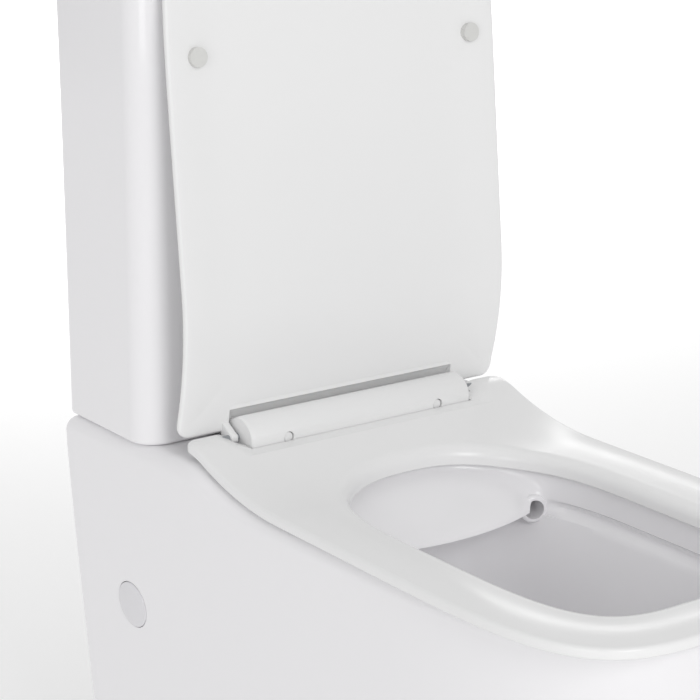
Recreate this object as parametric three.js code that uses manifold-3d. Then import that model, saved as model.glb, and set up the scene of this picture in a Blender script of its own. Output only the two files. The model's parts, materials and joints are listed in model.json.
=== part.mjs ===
// Close coupled toilet: back-to-wall pan, cistern, seat and lid, with the fittings inside.
// Millimetres, +Z up, the front of the toilet faces -Y. The floor is Z 0.
// Lengths along Y are measured from the front face of the hinge cover, and the whole
// group is centred at the end.
import * as THREE from 'three';
import { mergeVertices } from 'three/addons/utils/BufferGeometryUtils.js';
import Module from 'manifold-3d';

const wasm = await Module();
wasm.setup();

// Clearances
const restGap = 0.3;
const slideGap = 0.8;
const boltGap = 1.5;

// Pan
const panHalfWidth = 183;
const panBehindCistern = 3;
const panFrontY = -445;
const panTaper = 0.21;
const panSideInset = 30;
const panSidePower = 1.15;
const panFrontInset = 90;
const panFrontPower = 1.3;
const panWall = 11;
const rimHeight = 400;
const rimThickness = 16;
const deckThickness = 20;
const riseRun = 105.6;
const panRise = 18;
const panRiseSettle = 11.8;

// Bowl
const openingHalfWidth = 110;
const openingRearY = -57;
const openingFrontY = -404;
const rimSetback = 6;
const rimWallDepth = 29;
const shelfUndercut = 5;
const bowlDepth = 215;
const bowlWall = 11;
const noseHalfWidth = 72;
const noseReach = 67;
const trapRadius = 37;
const trapWall = 9;
const outletHeight = 180;
const outletSetback = 10;
const accessHalfWidth = 95;
const accessBottom = 60;
const accessTop = 300;
const ductHalfWidth = 30;
const ductWall = 9;
const nozzleRadius = 8;
const nozzleReach = 112;
const inletRadius = 26;
const inletSocketRadius = 50;
const inletSocketDepth = 22;

// Seat and lid
const seatHalfWidth = 164.3;
const seatFrontY = -458;
const seatThickness = 9.8;
const seatGap = 2.2;
const seatRise = 20.4;
const seatRiseSettle = 22;
const earRearY = 27.5;
const lidGap = 4;
const lidThickness = 6.5;
const lidDish = 2;
const lidRearY = 18;
const lidOpenAngle = 95.4;
const bufferRadius = 8;
const bufferPocket = 3.5;

// Hinges
const hingeSpacing = 156;
const hingeY = 22.4;
const hingeAboveDeck = 11;
const hingePinRadius = 3;
const basePlateRadius = 10.5;
const hingeCoverHalfWidth = 114;
const hingeCoverRadius = 22.4;
const hingeCoverTop = 17.5;
const hingeCoverRearY = 36;
const hingeCoverWall = 2.5;
const lugThickness = 7;
const lugRadius = 8;
const lugGap = 1;
const lidNotchGap = 2.5;
const hingePostHalf = 9;
const damperRadius = 7;
const damperInset = 12;
const recessFlare = 9.5;
const releaseRadius = 4.3;
const releaseTravel = 3;
const releaseSetback = 1.2;
const releaseAboveHinge = -1.6;

// Cistern
const cisternHalfWidth = 178;
const cisternFrontY = 64.7;
const cisternDepth = 127.3;
const cisternHeight = 370;
const cisternWall = 9;
const cisternFloor = 12;
const cisternCorner = 25;
const cisternLean = 7;
const cisternLidHeight = 32;
const cisternLidOverhang = 2;
const cisternLidWall = 9;
const cisternLidLip = 12;

// Flush button
const housingFlange = 5;
const housingDepth = 44;
const buttonWall = 2.5;
const buttonTravel = 7;
const buttonSplitX = 5;
const rodRadius = 2.5;
const rodClearance = 2;
const buttonHeight = 9;
const buttonProud = 1.5;
const springTurns = 4;
const springWire = 0.6;
const coilClearance = 1.5;
const springClearance = 1.9;

// Flush valve and fill valve
const valveHeight = 190;
const valveRadius = 36;
const valveTailRadius = 28;
const valveBore = 24;
const valveFlange = 8;
const valveHeadHeight = 12;
const tubeRadius = 16.5;
const tubeWall = 2.5;
const tubeAboveBody = 38;
const sealThickness = 2.5;
const sealRadius = 31;
const fillX = -125;
const fillHeight = 300;
const fillRadius = 12;
const fillTailRadius = 9.5;
const fillDeckHole = 24;
const floatRadius = 34;
const floatHeight = 60;

// Fixings
const boltX = 70;
const boltRadius = 4;
const boltTail = 46;
const nutHeight = 8;
const washerThickness = 3;
const capRadius = 20.5;
const capSink = 2;
const capY = 108;
const capZ = 267;
const sideScrewY = 80;
const sideScrewZ = 45;
const sideScrewRadius = 3;
const sideScrewSink = 9;
const bracketWidth = 36;
const bracketFoot = 40;
const bracketThickness = 5;

// Values that follow from the sizes above
const RAD = Math.PI / 180;
const settleGain = (rise, settle) => rise * settle / riseRun;
const deckHeight = rimHeight + panRise + settleGain(panRise, panRiseSettle);
const hingeZ = deckHeight + hingeAboveDeck;
const seatBottom = rimHeight + seatGap;
const seatTop = seatBottom + seatThickness;
const lidBottom = seatTop + lidGap;
const cisternBottom = deckHeight + restGap;
const cisternRearY = cisternFrontY + cisternDepth;
const panRearY = cisternRearY + panBehindCistern;
const cisternMiddleY = cisternFrontY + cisternDepth / 2;
const cisternTop = cisternBottom + cisternHeight;
const valveSeatZ = cisternBottom + cisternFloor;
const cisternLidTop = cisternTop + restGap + cisternLidHeight;
const sumpZ = rimHeight - bowlDepth;
const recessFrontHalfWidth = hingeCoverHalfWidth + lidNotchGap + lugThickness + lugGap;
const recessRearHalfWidth = recessFrontHalfWidth + recessFlare;
const rodOffset = tubeRadius + rodRadius + rodClearance;
const coilRadius = rodRadius + coilClearance;
const housingRadius = rodOffset + coilRadius + springWire + springClearance + buttonWall;
const bridgeTop = cisternLidTop - housingDepth + 4;

// ---------- solids ----------

function solidOf(geometry) {
  const plain = geometry.clone();
  plain.deleteAttribute('normal');
  plain.deleteAttribute('uv');
  const merged = mergeVertices(plain, 1e-4);
  const mesh = new wasm.Mesh({
    numProp: 3,
    vertProperties: new Float32Array(merged.attributes.position.array),
    triVerts: new Uint32Array(merged.index.array),
  });
  return new wasm.Manifold(mesh);
}

function geometryOf(solid) {
  const mesh = solid.getMesh();
  const geometry = new THREE.BufferGeometry();
  geometry.setAttribute('position', new THREE.BufferAttribute(mesh.vertProperties, mesh.numProp));
  geometry.setIndex(new THREE.BufferAttribute(mesh.triVerts, 1));
  geometry.computeVertexNormals();
  return geometry;
}

function join(first, ...others) {
  return others.reduce((sum, other) => sum.add(other), first);
}

function cut(first, ...others) {
  return others.reduce((sum, other) => sum.subtract(other), first);
}

function box(x0, x1, y0, y1, z0, z1) {
  const geometry = new THREE.BoxGeometry(x1 - x0, y1 - y0, z1 - z0);
  geometry.translate((x0 + x1) / 2, (y0 + y1) / 2, (z0 + z1) / 2);
  return solidOf(geometry);
}

function upright(x, y, z0, z1, radius, sides = 16) {
  const geometry = new THREE.CylinderGeometry(radius, radius, z1 - z0, sides);
  geometry.rotateX(Math.PI / 2);
  geometry.translate(x, y, (z0 + z1) / 2);
  return solidOf(geometry);
}

function crosswise(x0, x1, y, z, radius, sides = 16) {
  const geometry = new THREE.CylinderGeometry(radius, radius, x1 - x0, sides);
  geometry.rotateZ(Math.PI / 2);
  geometry.translate((x0 + x1) / 2, y, z);
  return solidOf(geometry);
}

function lengthwise(x, z, y0, y1, radius, sides = 16) {
  const geometry = new THREE.CylinderGeometry(radius, radius, y1 - y0, sides);
  geometry.translate(x, (y0 + y1) / 2, z);
  return solidOf(geometry);
}

// A turned piece about a vertical line, from a closed outline of [radius, height] pairs.
function turned(x, y, outline, sides = 20) {
  const points = outline.map(([radius, height]) => new THREE.Vector2(radius, height));
  if (outline[0][0] > 0) points.push(points[0].clone());
  const geometry = new THREE.LatheGeometry(points, sides);
  geometry.rotateX(Math.PI / 2);
  geometry.translate(x, y, 0);
  return solidOf(geometry);
}

// An upright extrusion of a plan outline of [x, y] pairs.
function plate(outline, z0, z1) {
  const shape = new THREE.Shape(outline.map(([x, y]) => new THREE.Vector2(x, y)));
  const geometry = new THREE.ExtrudeGeometry(shape, { depth: z1 - z0, bevelEnabled: false });
  geometry.translate(0, 0, z0);
  return solidOf(geometry);
}

// A sideways extrusion of a side view outline of [y, z] pairs, between two values of x.
function sideProfile(outline, x0, x1) {
  const shape = new THREE.Shape(outline.map(([y, z]) => new THREE.Vector2(y, z)));
  const geometry = new THREE.ExtrudeGeometry(shape, { depth: x1 - x0, bevelEnabled: false });
  geometry.rotateY(Math.PI / 2);
  geometry.rotateX(Math.PI / 2);
  geometry.translate(x0, 0, 0);
  return solidOf(geometry);
}

// A closed skin through level outlines, listed from the top down.
function loft(levels, sides) {
  const geometry = new THREE.CylinderGeometry(1, 1, 1, sides, levels.length - 1);
  const place = geometry.attributes.position;
  for (let i = 0; i < place.count; i += 1) {
    const level = levels[Math.round((0.5 - place.getY(i)) * (levels.length - 1))];
    const angle = Math.atan2(-place.getZ(i), place.getX(i));
    const share = Math.hypot(place.getX(i), place.getZ(i));
    const [x, y] = eggPoint(level, angle);
    place.setXYZ(i, share * x, level.middle + share * (y - level.middle), level.z);
  }
  return solidOf(geometry);
}

// ---------- outlines ----------

// A rounded plan outline: half width, rear and front ends, the widest line, and how square each end is.
function eggPoint(egg, angle) {
  const across = Math.cos(angle);
  const along = Math.sin(angle);
  const power = along > 0 ? egg.rearPower : egg.frontPower;
  const reach = along > 0 ? egg.rear - egg.middle : egg.middle - egg.front;
  const scale = (Math.abs(across) ** power + Math.abs(along) ** power) ** (-1 / power);
  const y = egg.middle + reach * scale * along;
  const narrowing = 1 - (egg.taper ?? 0) * (egg.rear - y) / (egg.rear - egg.front);
  return [egg.half * scale * across * narrowing, y];
}

function eggOutline(egg, sides) {
  return Array.from({ length: sides }, (_, i) => eggPoint(egg, i * 2 * Math.PI / sides));
}

function grown(egg, amount) {
  return { ...egg, half: egg.half + amount, rear: egg.rear + amount, front: egg.front - amount };
}

const openingEgg = {
  half: openingHalfWidth, rear: openingRearY, middle: -200, front: openingFrontY,
  rearPower: 2.5, frontPower: 4.7,
};
const seatEgg = {
  half: seatHalfWidth, rear: earRearY, middle: -200, front: seatFrontY, rearPower: 24, frontPower: 4.7,
};

function panEgg(height, inset) {
  const fall = Math.max(0, 1 - height / rimHeight);
  return {
    z: height,
    half: panHalfWidth - panSideInset * fall ** panSidePower - inset,
    rear: panRearY - inset,
    middle: -210,
    front: panFrontY + panFrontInset * fall ** panFrontPower + inset,
    rearPower: 200,
    frontPower: 3.2,
    taper: panTaper,
  };
}

// Height that a surface gains towards the rear: flat at the front, a growing slope, then level again.
function riseAt(y, rise, settle) {
  if (y <= -riseRun) return 0;
  if (y <= 0) return rise * (1 + y / riseRun) ** 2;
  const slope = 2 * rise / riseRun;
  const reach = Math.min(y, settle);
  return rise + slope * (reach - reach * reach / (2 * settle));
}

// Points of a surface that rises towards the rear, from front to rear.
function risingLine(frontY, rearY, base, rise, settle) {
  const bends = [];
  for (let i = 0; i <= 6; i += 1) bends.push(-riseRun * (1 - i / 6));
  for (let i = 1; i <= 3; i += 1) bends.push(settle * i / 3);
  const stops = [frontY, ...bends.filter((y) => y > frontY + 1 && y < rearY - 1), rearY];
  return stops.map((y) => [y, base + riseAt(y, rise, settle)]);
}

function risingSlab(frontY, rearY, bottom, top, rise, settle, x0, x1) {
  const lower = risingLine(frontY, rearY, bottom, rise, settle);
  const upper = risingLine(frontY, rearY, top, rise, settle);
  return sideProfile([...lower, ...upper.reverse()], x0, x1);
}

// ---------- pan ----------

function belowPanTop(drop, bottom) {
  const top = risingLine(panFrontY - 40, panRearY + 40, rimHeight - drop, panRise, panRiseSettle);
  const outline = [[panFrontY - 40, bottom], [panRearY + 40, bottom], ...top.reverse()];
  return sideProfile(outline, -panHalfWidth - 40, panHalfWidth + 40);
}

function panSkin(inset, bottom) {
  const heights = [460, rimHeight, 330, 190, bottom];
  return loft(heights.map((height) => panEgg(height, inset)), inset > 0 ? 20 : 32);
}

// Level outlines of the bowl, from above the rim down to the sump, thicker by the given wall.
function bowlLevels(wall, top) {
  const rim = grown(openingEgg, rimSetback);
  const shelf = rimHeight - rimWallDepth;
  const steps = [
    [top, 0, 0], [shelf, 0, 0],
    [shelf - 2, -shelfUndercut, -shelfUndercut], [shelf - 8, -shelfUndercut, -shelfUndercut],
    [shelf - 12, 3, 3], [shelf - 50, 12, 12], [sumpZ + 85, 32, 58], [sumpZ + 45, 52, 114], [sumpZ, 82, 205],
  ];
  return steps.map(([z, side, front]) => ({
    ...rim,
    z: z === top ? top : z - wall * (1 - (z - sumpZ) / (shelf - sumpZ)),
    half: rim.half - side + wall,
    rear: rim.rear - side * 0.65 + wall,
    front: rim.front + front - wall,
    middle: rim.rear - side * 0.65 - (rim.rear - rim.front - front - side * 0.65) * 0.42,
    frontPower: side > 20 ? 2.6 : rim.frontPower,
  }));
}

function trapPipe(radius, start, end) {
  const route = [
    [start, sumpZ + 27], [-124, sumpZ - 13], [-84, sumpZ - 33], [-44, sumpZ - 21],
    [-14, sumpZ + 19], [22, sumpZ + 45],
    [64, sumpZ + 29], [104, outletHeight + 4], [134, outletHeight], [end, outletHeight],
  ];
  const curve = new THREE.CatmullRomCurve3(route.map(([y, z]) => new THREE.Vector3(0, y, z)));
  const ring = Array.from({ length: 12 }, (_, i) => {
    const angle = i * Math.PI / 6;
    return new THREE.Vector2(radius * Math.cos(angle), radius * Math.sin(angle));
  });
  const options = { steps: 12, extrudePath: curve, bevelEnabled: false };
  return solidOf(new THREE.ExtrudeGeometry(new THREE.Shape(ring), options));
}

function distributorNose() {
  const rear = openingRearY + rimSetback;
  const tiers = [[rimHeight - 5, 0.74], [rimHeight - 14, 0.95], [rimHeight - 34, 1], [rimHeight - 42, 0.9]];
  return loft(tiers.map(([z, share]) => ({
    z, half: noseHalfWidth * (0.6 + 0.4 * share), rear: rear + 8, middle: rear - 2,
    front: rear - noseReach * share, rearPower: 3, frontPower: 2.3,
  })), 20);
}

function sideWallX(y, z) {
  const egg = panEgg(z, 0);
  return egg.half * (1 - panTaper * (egg.rear - y) / (egg.rear - egg.front));
}

// Turns a piece made along +X so that it faces square out of the pan's side wall at the given point.
function againstSide(side, y, z, solid) {
  const egg = panEgg(z, 0);
  const slopeY = panTaper * egg.half / (egg.rear - egg.front);
  const slopeZ = panSidePower * panSideInset / rimHeight * (1 - z / rimHeight) ** (panSidePower - 1);
  const x = sideWallX(y, z);
  const normal = new THREE.Vector3(side, -slopeY, -slopeZ).normalize();
  const turn = new THREE.Quaternion().setFromUnitVectors(new THREE.Vector3(side, 0, 0), normal);
  const geometry = geometryOf(solid);
  if (side < 0) geometry.rotateZ(Math.PI);
  geometry.applyQuaternion(turn);
  geometry.translate(side * x, y, z);
  return solidOf(geometry);
}

function makePan() {
  const outside = panSkin(0, 0).intersect(belowPanTop(0, -5));
  const roof = belowPanTop(rimThickness, -10);
  const bowlOutside = loft(bowlLevels(bowlWall, rimHeight + 20), 20);
  const bowlInside = loft(bowlLevels(0, rimHeight + 60), 32);
  const trapOutside = trapPipe(trapRadius + trapWall, -150, panRearY - outletSetback);
  const trapInside = trapPipe(trapRadius, -150, panRearY - outletSetback + 20);
  const ductBottom = rimHeight - 40;
  const ductTop = rimHeight - 12;
  const ductFloor = ductBottom - ductWall;
  const ductSide = ductHalfWidth + ductWall;
  const ductRearY = cisternMiddleY + ductHalfWidth;
  const duct = join(
    box(-ductHalfWidth, ductHalfWidth, openingRearY - 36, ductRearY, ductBottom, ductTop),
    upright(0, cisternMiddleY, ductBottom, deckHeight + 20, inletRadius + 6, 20),
  );
  const ductShell = join(
    box(-ductSide, ductSide, openingRearY - 10, ductRearY + ductWall, ductFloor, deckHeight - 5),
    upright(0, cisternMiddleY, ductFloor, deckHeight - 5, inletSocketRadius + ductWall, 20),
  );
  const hollow = cut(panSkin(panWall, -5).intersect(roof), bowlOutside, trapOutside, ductShell);
  const rearAccess = box(
    -accessHalfWidth, accessHalfWidth, panRearY - 40, panRearY + 5, accessBottom, accessTop);
  const socket = upright(
    0, cisternMiddleY, deckHeight - inletSocketDepth, deckHeight + 20, inletSocketRadius, 24);
  const shell = cut(outside, hollow, bowlInside, cut(rearAccess, trapOutside)).add(distributorNose());
  let pan = cut(shell, duct, socket, trapInside);
  for (const side of [-1, 1]) {
    const nozzle = crosswise(0, nozzleReach, 0, 0, nozzleRadius, 12);
    const turnedNozzle = geometryOf(nozzle);
    turnedNozzle.rotateZ(side > 0 ? -0.2 : Math.PI + 0.2);
    turnedNozzle.translate(0, openingRearY - 32, rimHeight - 26);
    const holes = [
      solidOf(turnedNozzle),
      upright(side * boltX, cisternMiddleY, deckHeight - 60, deckHeight + 10, boltRadius + boltGap, 16),
      upright(side * hingeSpacing / 2, hingeY, deckHeight - 60, deckHeight + 10, boltRadius + boltGap, 16),
      againstSide(side, capY, capZ, crosswise(-30, 10, 0, 0, capRadius - 2, 20)),
      againstSide(side, capY, capZ, crosswise(-capSink, 10, 0, 0, capRadius + slideGap, 24)),
      againstSide(side, sideScrewY, sideScrewZ, crosswise(-30, 10, 0, 0, sideScrewRadius + 1, 12)),
      againstSide(side, sideScrewY, sideScrewZ, crosswise(-5, 10, 0, 0, sideScrewSink, 16)),
    ];
    pan = cut(pan, ...holes);
  }
  return cut(pan, upright(fillX, cisternMiddleY, deckHeight - 60, deckHeight + 10, fillDeckHole, 16));
}

// ---------- cistern ----------

function roundedBox(halfWidth, y0, y1, z0, z1, corner) {
  const shape = new THREE.Shape();
  shape.moveTo(-halfWidth + corner, y0);
  shape.lineTo(halfWidth - corner, y0);
  shape.absarc(halfWidth - corner, y0 + corner, corner, -Math.PI / 2, 0);
  shape.lineTo(halfWidth, y1 - 6);
  shape.absarc(halfWidth - 6, y1 - 6, 6, 0, Math.PI / 2);
  shape.lineTo(-halfWidth + 6, y1);
  shape.absarc(-halfWidth + 6, y1 - 6, 6, Math.PI / 2, Math.PI);
  shape.lineTo(-halfWidth, y0 + corner);
  shape.absarc(-halfWidth + corner, y0 + corner, corner, Math.PI, 1.5 * Math.PI);
  const options = { depth: z1 - z0, bevelEnabled: false, curveSegments: 4 };
  const geometry = new THREE.ExtrudeGeometry(shape, options);
  geometry.translate(0, 0, z0);
  return leaning(geometry);
}

// Moves the front of a cistern piece forward with its height, as the cistern's front leans.
function leaning(geometry) {
  const place = geometry.attributes.position;
  for (let i = 0; i < place.count; i += 1) {
    const share = (cisternRearY - place.getY(i)) / cisternDepth;
    const rise = (place.getZ(i) - cisternBottom) / cisternHeight;
    place.setY(i, place.getY(i) - cisternLean * rise * share);
  }
  return solidOf(geometry);
}

function makeCisternTank() {
  const outside = roundedBox(
    cisternHalfWidth, cisternFrontY, cisternRearY, cisternBottom, cisternTop, cisternCorner);
  const inside = roundedBox(
    cisternHalfWidth - cisternWall, cisternFrontY + cisternWall, cisternRearY - cisternWall,
    valveSeatZ, cisternTop + 10, cisternCorner - cisternWall,
  );
  const holes = [
    upright(0, cisternMiddleY, cisternBottom - 5, valveSeatZ + 5, valveTailRadius + slideGap, 28),
    upright(fillX, cisternMiddleY, cisternBottom - 5, valveSeatZ + 5, fillTailRadius + boltGap, 16),
  ];
  for (const side of [-1, 1]) {
    holes.push(upright(
      side * boltX, cisternMiddleY, cisternBottom - 5, valveSeatZ + 5, boltRadius + boltGap, 16));
  }
  return cut(outside, inside, ...holes);
}

function makeCisternLid() {
  const bottom = cisternTop + restGap;
  const top = bottom + cisternLidHeight;
  const over = cisternLidOverhang;
  const outside = roundedBox(
    cisternHalfWidth + over, cisternFrontY - over, cisternRearY, bottom, top, cisternCorner + over,
  );
  const inside = roundedBox(
    cisternHalfWidth - cisternWall - 8, cisternFrontY + cisternWall + 8, cisternRearY - cisternWall - 8,
    bottom - 30, top - cisternLidWall, cisternCorner - cisternWall - 8,
  );
  const lip = roundedBox(
    cisternHalfWidth - cisternWall - 3, cisternFrontY + cisternWall + 3, cisternRearY - cisternWall - 3,
    bottom - cisternLidLip, bottom + 1, cisternCorner - cisternWall - 3,
  );
  const hole = upright(0, cisternMiddleY, bottom - 30, top + 10, housingRadius + slideGap, 28);
  return cut(outside.add(lip), inside, hole);
}

// ---------- seat and lid ----------

// The gap between the two rear ears of the seat, wider towards the wall.
function recessOutline(frontY) {
  return [
    [-recessFrontHalfWidth, frontY], [recessFrontHalfWidth, frontY],
    [recessRearHalfWidth, earRearY + 20], [-recessRearHalfWidth, earRearY + 20],
  ];
}

const bufferX = (openingHalfWidth + seatHalfWidth) / 2;
const seatBufferPlaces = [[-bufferX, -90], [bufferX, -90], [11 - bufferX, -330], [bufferX - 11, -330]];
const lidBufferPlaces = [[-bufferX, -290], [bufferX, -290]];

function makeSeatRing() {
  const slab = risingSlab(
    seatFrontY - 20, earRearY + 5, seatBottom, seatTop, seatRise, seatRiseSettle,
    -seatHalfWidth - 5, seatHalfWidth + 5,
  );
  let ring = slab.intersect(plate(eggOutline(seatEgg, 56), seatBottom - 20, seatTop + 60));
  const boss = crosswise(-seatHalfWidth + 14, seatHalfWidth - 14, hingeY, hingeZ, hingePinRadius + 2.2, 16);
  ring = ring.add(boss);
  const cutters = [
    plate(eggOutline(openingEgg, 40), seatBottom - 20, seatTop + 60),
    plate(recessOutline(-2), seatBottom - 20, seatTop + 60),
    crosswise(-seatHalfWidth + 18, seatHalfWidth - 18, hingeY, hingeZ, hingePinRadius + restGap, 12),
  ];
  for (const [x, y] of seatBufferPlaces) {
    cutters.push(upright(
      x, y, seatBottom - 10, seatBottom + bufferPocket + riseAt(y, seatRise, seatRiseSettle),
      bufferRadius + restGap, 16));
  }
  return cut(ring, ...cutters);
}

function makeSeatBuffer(x, y) {
  const lift = riseAt(y, seatRise, seatRiseSettle);
  const foot = rimHeight + riseAt(y + bufferRadius, panRise, panRiseSettle) + restGap;
  return upright(x, y, foot, seatBottom + bufferPocket + lift - restGap, bufferRadius, 16);
}

// The lid is drawn shut, then turned open about the hinge.
function opened(solid) {
  const geometry = geometryOf(solid);
  geometry.translate(0, -hingeY, -hingeZ);
  geometry.rotateX(-lidOpenAngle * RAD);
  geometry.translate(0, hingeY, hingeZ);
  return solidOf(geometry);
}

function makeSeatLid() {
  const edge = seatHalfWidth + 5;
  const slab = risingSlab(
    seatFrontY - 20, lidRearY, lidBottom, lidBottom + lidThickness, seatRise, seatRiseSettle, -edge, edge,
  );
  const dish = risingSlab(
    seatFrontY - 20, lidRearY + 5, lidBottom - 5, lidBottom + lidDish, seatRise, seatRiseSettle,
    -edge, edge,
  );
  const lidEgg = { ...seatEgg, rear: lidRearY + 3 };
  const dishEgg = { ...grown(lidEgg, -16), rear: -30, rearPower: 8 };
  const tall = [seatBottom - 20, seatTop + 80];
  let lid = slab.intersect(plate(eggOutline(lidEgg, 56), ...tall));
  lid = cut(lid, dish.intersect(plate(eggOutline(dishEgg, 32), ...tall)));
  const notch = hingeCoverHalfWidth + lidNotchGap;
  lid = cut(lid, box(-notch, notch, -3.5, lidRearY + 20, ...tall));
  const lugOuter = notch + lugThickness;
  const underside = lidBottom + riseAt(lidRearY, seatRise, seatRiseSettle);
  for (const side of [-1, 1]) {
    const x0 = Math.min(side * notch, side * lugOuter);
    const x1 = Math.max(side * notch, side * lugOuter);
    const arm = sideProfile([
      [lidRearY - 12, underside + 2], [hingeY - 6, hingeZ - 3], [hingeY + 6, hingeZ + 3],
      [lidRearY, underside + lidThickness - 1],
    ], x0, x1);
    lid = join(lid, arm, crosswise(x0, x1, hingeY, hingeZ, lugRadius, 20));
    lid = cut(lid, crosswise(x0 - 5, x1 + 5, hingeY, hingeZ, hingePinRadius + restGap, 12));
  }
  for (const [x, y] of lidBufferPlaces) {
    lid = cut(lid, upright(x, y, lidBottom - 10, lidBottom + bufferPocket, bufferRadius + restGap, 16));
  }
  return opened(lid);
}

function makeLidBuffer(x, y) {
  return opened(upright(
    x, y, seatTop + restGap + 0.5, lidBottom + bufferPocket - restGap, bufferRadius, 16));
}

// ---------- hinge ----------

function coverOutline(shrink) {
  const radius = hingeCoverRadius - shrink;
  const points = [];
  for (let i = 0; i <= 6; i += 1) {
    const angle = Math.PI * (1 - i / 12);
    points.push([hingeY + radius * Math.cos(angle), hingeZ + (hingeCoverTop - shrink) * Math.sin(angle)]);
  }
  const foot = deckHeight + restGap - shrink;
  return [
    [hingeY - radius + 1, foot], ...points,
    [hingeCoverRearY - shrink, hingeZ + hingeCoverTop - 8 - shrink], [hingeCoverRearY - shrink, foot],
  ];
}

function makeHingeCover() {
  const half = hingeCoverHalfWidth;
  const outside = sideProfile(coverOutline(0), -half, half);
  const inside = sideProfile(coverOutline(hingeCoverWall), -half + hingeCoverWall, half - hingeCoverWall);
  const cutters = [inside, crosswise(-half - 5, half + 5, hingeY, hingeZ, hingePinRadius + restGap, 12)];
  for (const side of [-1, 1]) {
    cutters.push(lengthwise(
      side * hingeSpacing / 2, hingeZ + releaseAboveHinge, -10, 15, releaseRadius + restGap, 16));
  }
  return cut(outside, ...cutters);
}

function makeBasePlate(side) {
  const x = side * hingeSpacing / 2;
  const bottom = deckHeight + restGap;
  const disc = upright(x, hingeY, bottom, bottom + 4, basePlateRadius, 16);
  const stud = upright(x, hingeY, bottom + 3.5, bottom + 6.5, 8.5, 16);
  const hole = upright(x, hingeY, bottom - 5, bottom + 20, boltRadius + restGap, 12);
  const sink = upright(x, hingeY, bottom + 2, bottom + 20, 7, 16);
  return cut(disc.add(stud), hole, cut(sink, upright(x, hingeY, bottom - 1, bottom + 2, 20, 12)));
}

function makeHingeBolt(side) {
  const x = side * hingeSpacing / 2;
  const seat = deckHeight + 2 * restGap + 2;
  return join(
    upright(x, hingeY, seat, seat + 3.2, 6.5, 16),
    upright(x, hingeY, deckHeight - boltTail, seat + 1, boltRadius, 12),
  );
}

function makeHingePost(side) {
  const x = side * hingeSpacing / 2;
  const bottom = deckHeight + restGap + 7;
  const block = box(
    x - hingePostHalf, x + hingePostHalf, hingeY - hingePostHalf, hingeY + hingePostHalf,
    bottom, hingeZ + 8,
  );
  const pinHole = crosswise(x - 20, x + 20, hingeY, hingeZ, hingePinRadius + restGap, 12);
  return cut(block, pinHole);
}

function makeHingePin(side) {
  const x0 = side * (hingeSpacing / 2 - 6);
  const x1 = side * (seatHalfWidth - 19);
  return crosswise(Math.min(x0, x1), Math.max(x0, x1), hingeY, hingeZ, hingePinRadius, 12);
}

function makeDamper(side) {
  const x0 = side * (hingeSpacing / 2 + damperInset);
  const x1 = side * (hingeCoverHalfWidth - hingeCoverWall - 1);
  const sleeve = crosswise(Math.min(x0, x1), Math.max(x0, x1), hingeY, hingeZ, damperRadius, 16);
  return cut(sleeve, crosswise(-200, 200, hingeY, hingeZ, hingePinRadius + restGap, 12));
}

function makeReleaseButton(side) {
  const x = side * hingeSpacing / 2;
  const z = hingeZ + releaseAboveHinge;
  return lengthwise(
    x, z, releaseSetback, hingeY - hingePostHalf - restGap - releaseTravel, releaseRadius, 16);
}

// ---------- fastenings ----------

function makeWasher(x, y, bottom, height, radius, hole) {
  return cut(
    upright(x, y, bottom, bottom + height, radius, 16),
    upright(x, y, bottom - 1, bottom + height + 1, hole, 12));
}

function makeNut(x, y, bottom, height, radius, hole) {
  return cut(
    upright(x, y, bottom, bottom + height, radius, 6),
    upright(x, y, bottom - 1, bottom + height + 1, hole));
}

function makeWingNut(x, y, bottom) {
  const body = join(
    upright(x, y, bottom, bottom + nutHeight, 8, 16),
    box(x - 16, x + 16, y - 2, y + 2, bottom - 6, bottom + 6));
  return cut(body, upright(x, y, bottom - 10, bottom + 10, boltRadius + restGap, 12));
}

function makeCouplingBolt(side) {
  const x = side * boltX;
  const head = valveSeatZ + restGap * 2 + sealThickness;
  return join(
    upright(x, cisternMiddleY, head, head + 6, 8, 6),
    upright(x, cisternMiddleY, deckHeight - boltTail, head + 1, boltRadius, 12),
  );
}

// ---------- flush and fill fittings ----------

function makeFlushValveBody() {
  const base = valveSeatZ + restGap;
  const tail = deckHeight - inletSocketDepth + 1;
  return turned(0, cisternMiddleY, [
    [valveBore, tail], [valveTailRadius, tail], [valveTailRadius, base], [valveRadius + valveFlange, base],
    [valveRadius + valveFlange, base + 4], [valveRadius, base + 4], [valveRadius, base + valveHeight],
    [valveRadius - 3, base + valveHeight], [valveRadius - 3, base + 6], [valveBore, base + 6],
  ], 24);
}

function makeFlushValveHead() {
  const bottom = valveSeatZ + 2 * restGap + valveHeight;
  return turned(0, cisternMiddleY, [
    [tubeRadius + slideGap, bottom], [valveRadius, bottom],
    [valveRadius, bottom + valveHeadHeight], [tubeRadius + slideGap, bottom + valveHeadHeight],
  ]);
}

function makeFlushValveTube() {
  const base = valveSeatZ + restGap + 6 + 2 * restGap + sealThickness;
  const top = valveSeatZ + valveHeight + tubeAboveBody;
  const disc = sealRadius - 1;
  return turned(0, cisternMiddleY, [
    [tubeRadius - tubeWall, base], [disc, base], [disc, base + 3],
    [tubeRadius, base + 3], [tubeRadius, top], [tubeRadius - tubeWall, top],
  ]);
}

function makeFlushValveSeal() {
  const base = valveSeatZ + restGap + 6 + restGap;
  const top = base + sealThickness;
  return turned(0, cisternMiddleY, [[20, base], [sealRadius, base], [sealRadius, top], [20, top]]);
}

function makeFlushBackNut() {
  const top = cisternBottom - restGap;
  return makeNut(0, cisternMiddleY, top - 12, 12, 40, valveTailRadius + slideGap);
}

function makeDoughnutGasket() {
  const bottom = deckHeight - inletSocketDepth + restGap;
  const outer = inletSocketRadius - restGap;
  return turned(0, cisternMiddleY, [
    [outer - 8, bottom], [outer, bottom], [outer, deckHeight], [outer - 8, deckHeight],
  ], 24);
}

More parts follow.
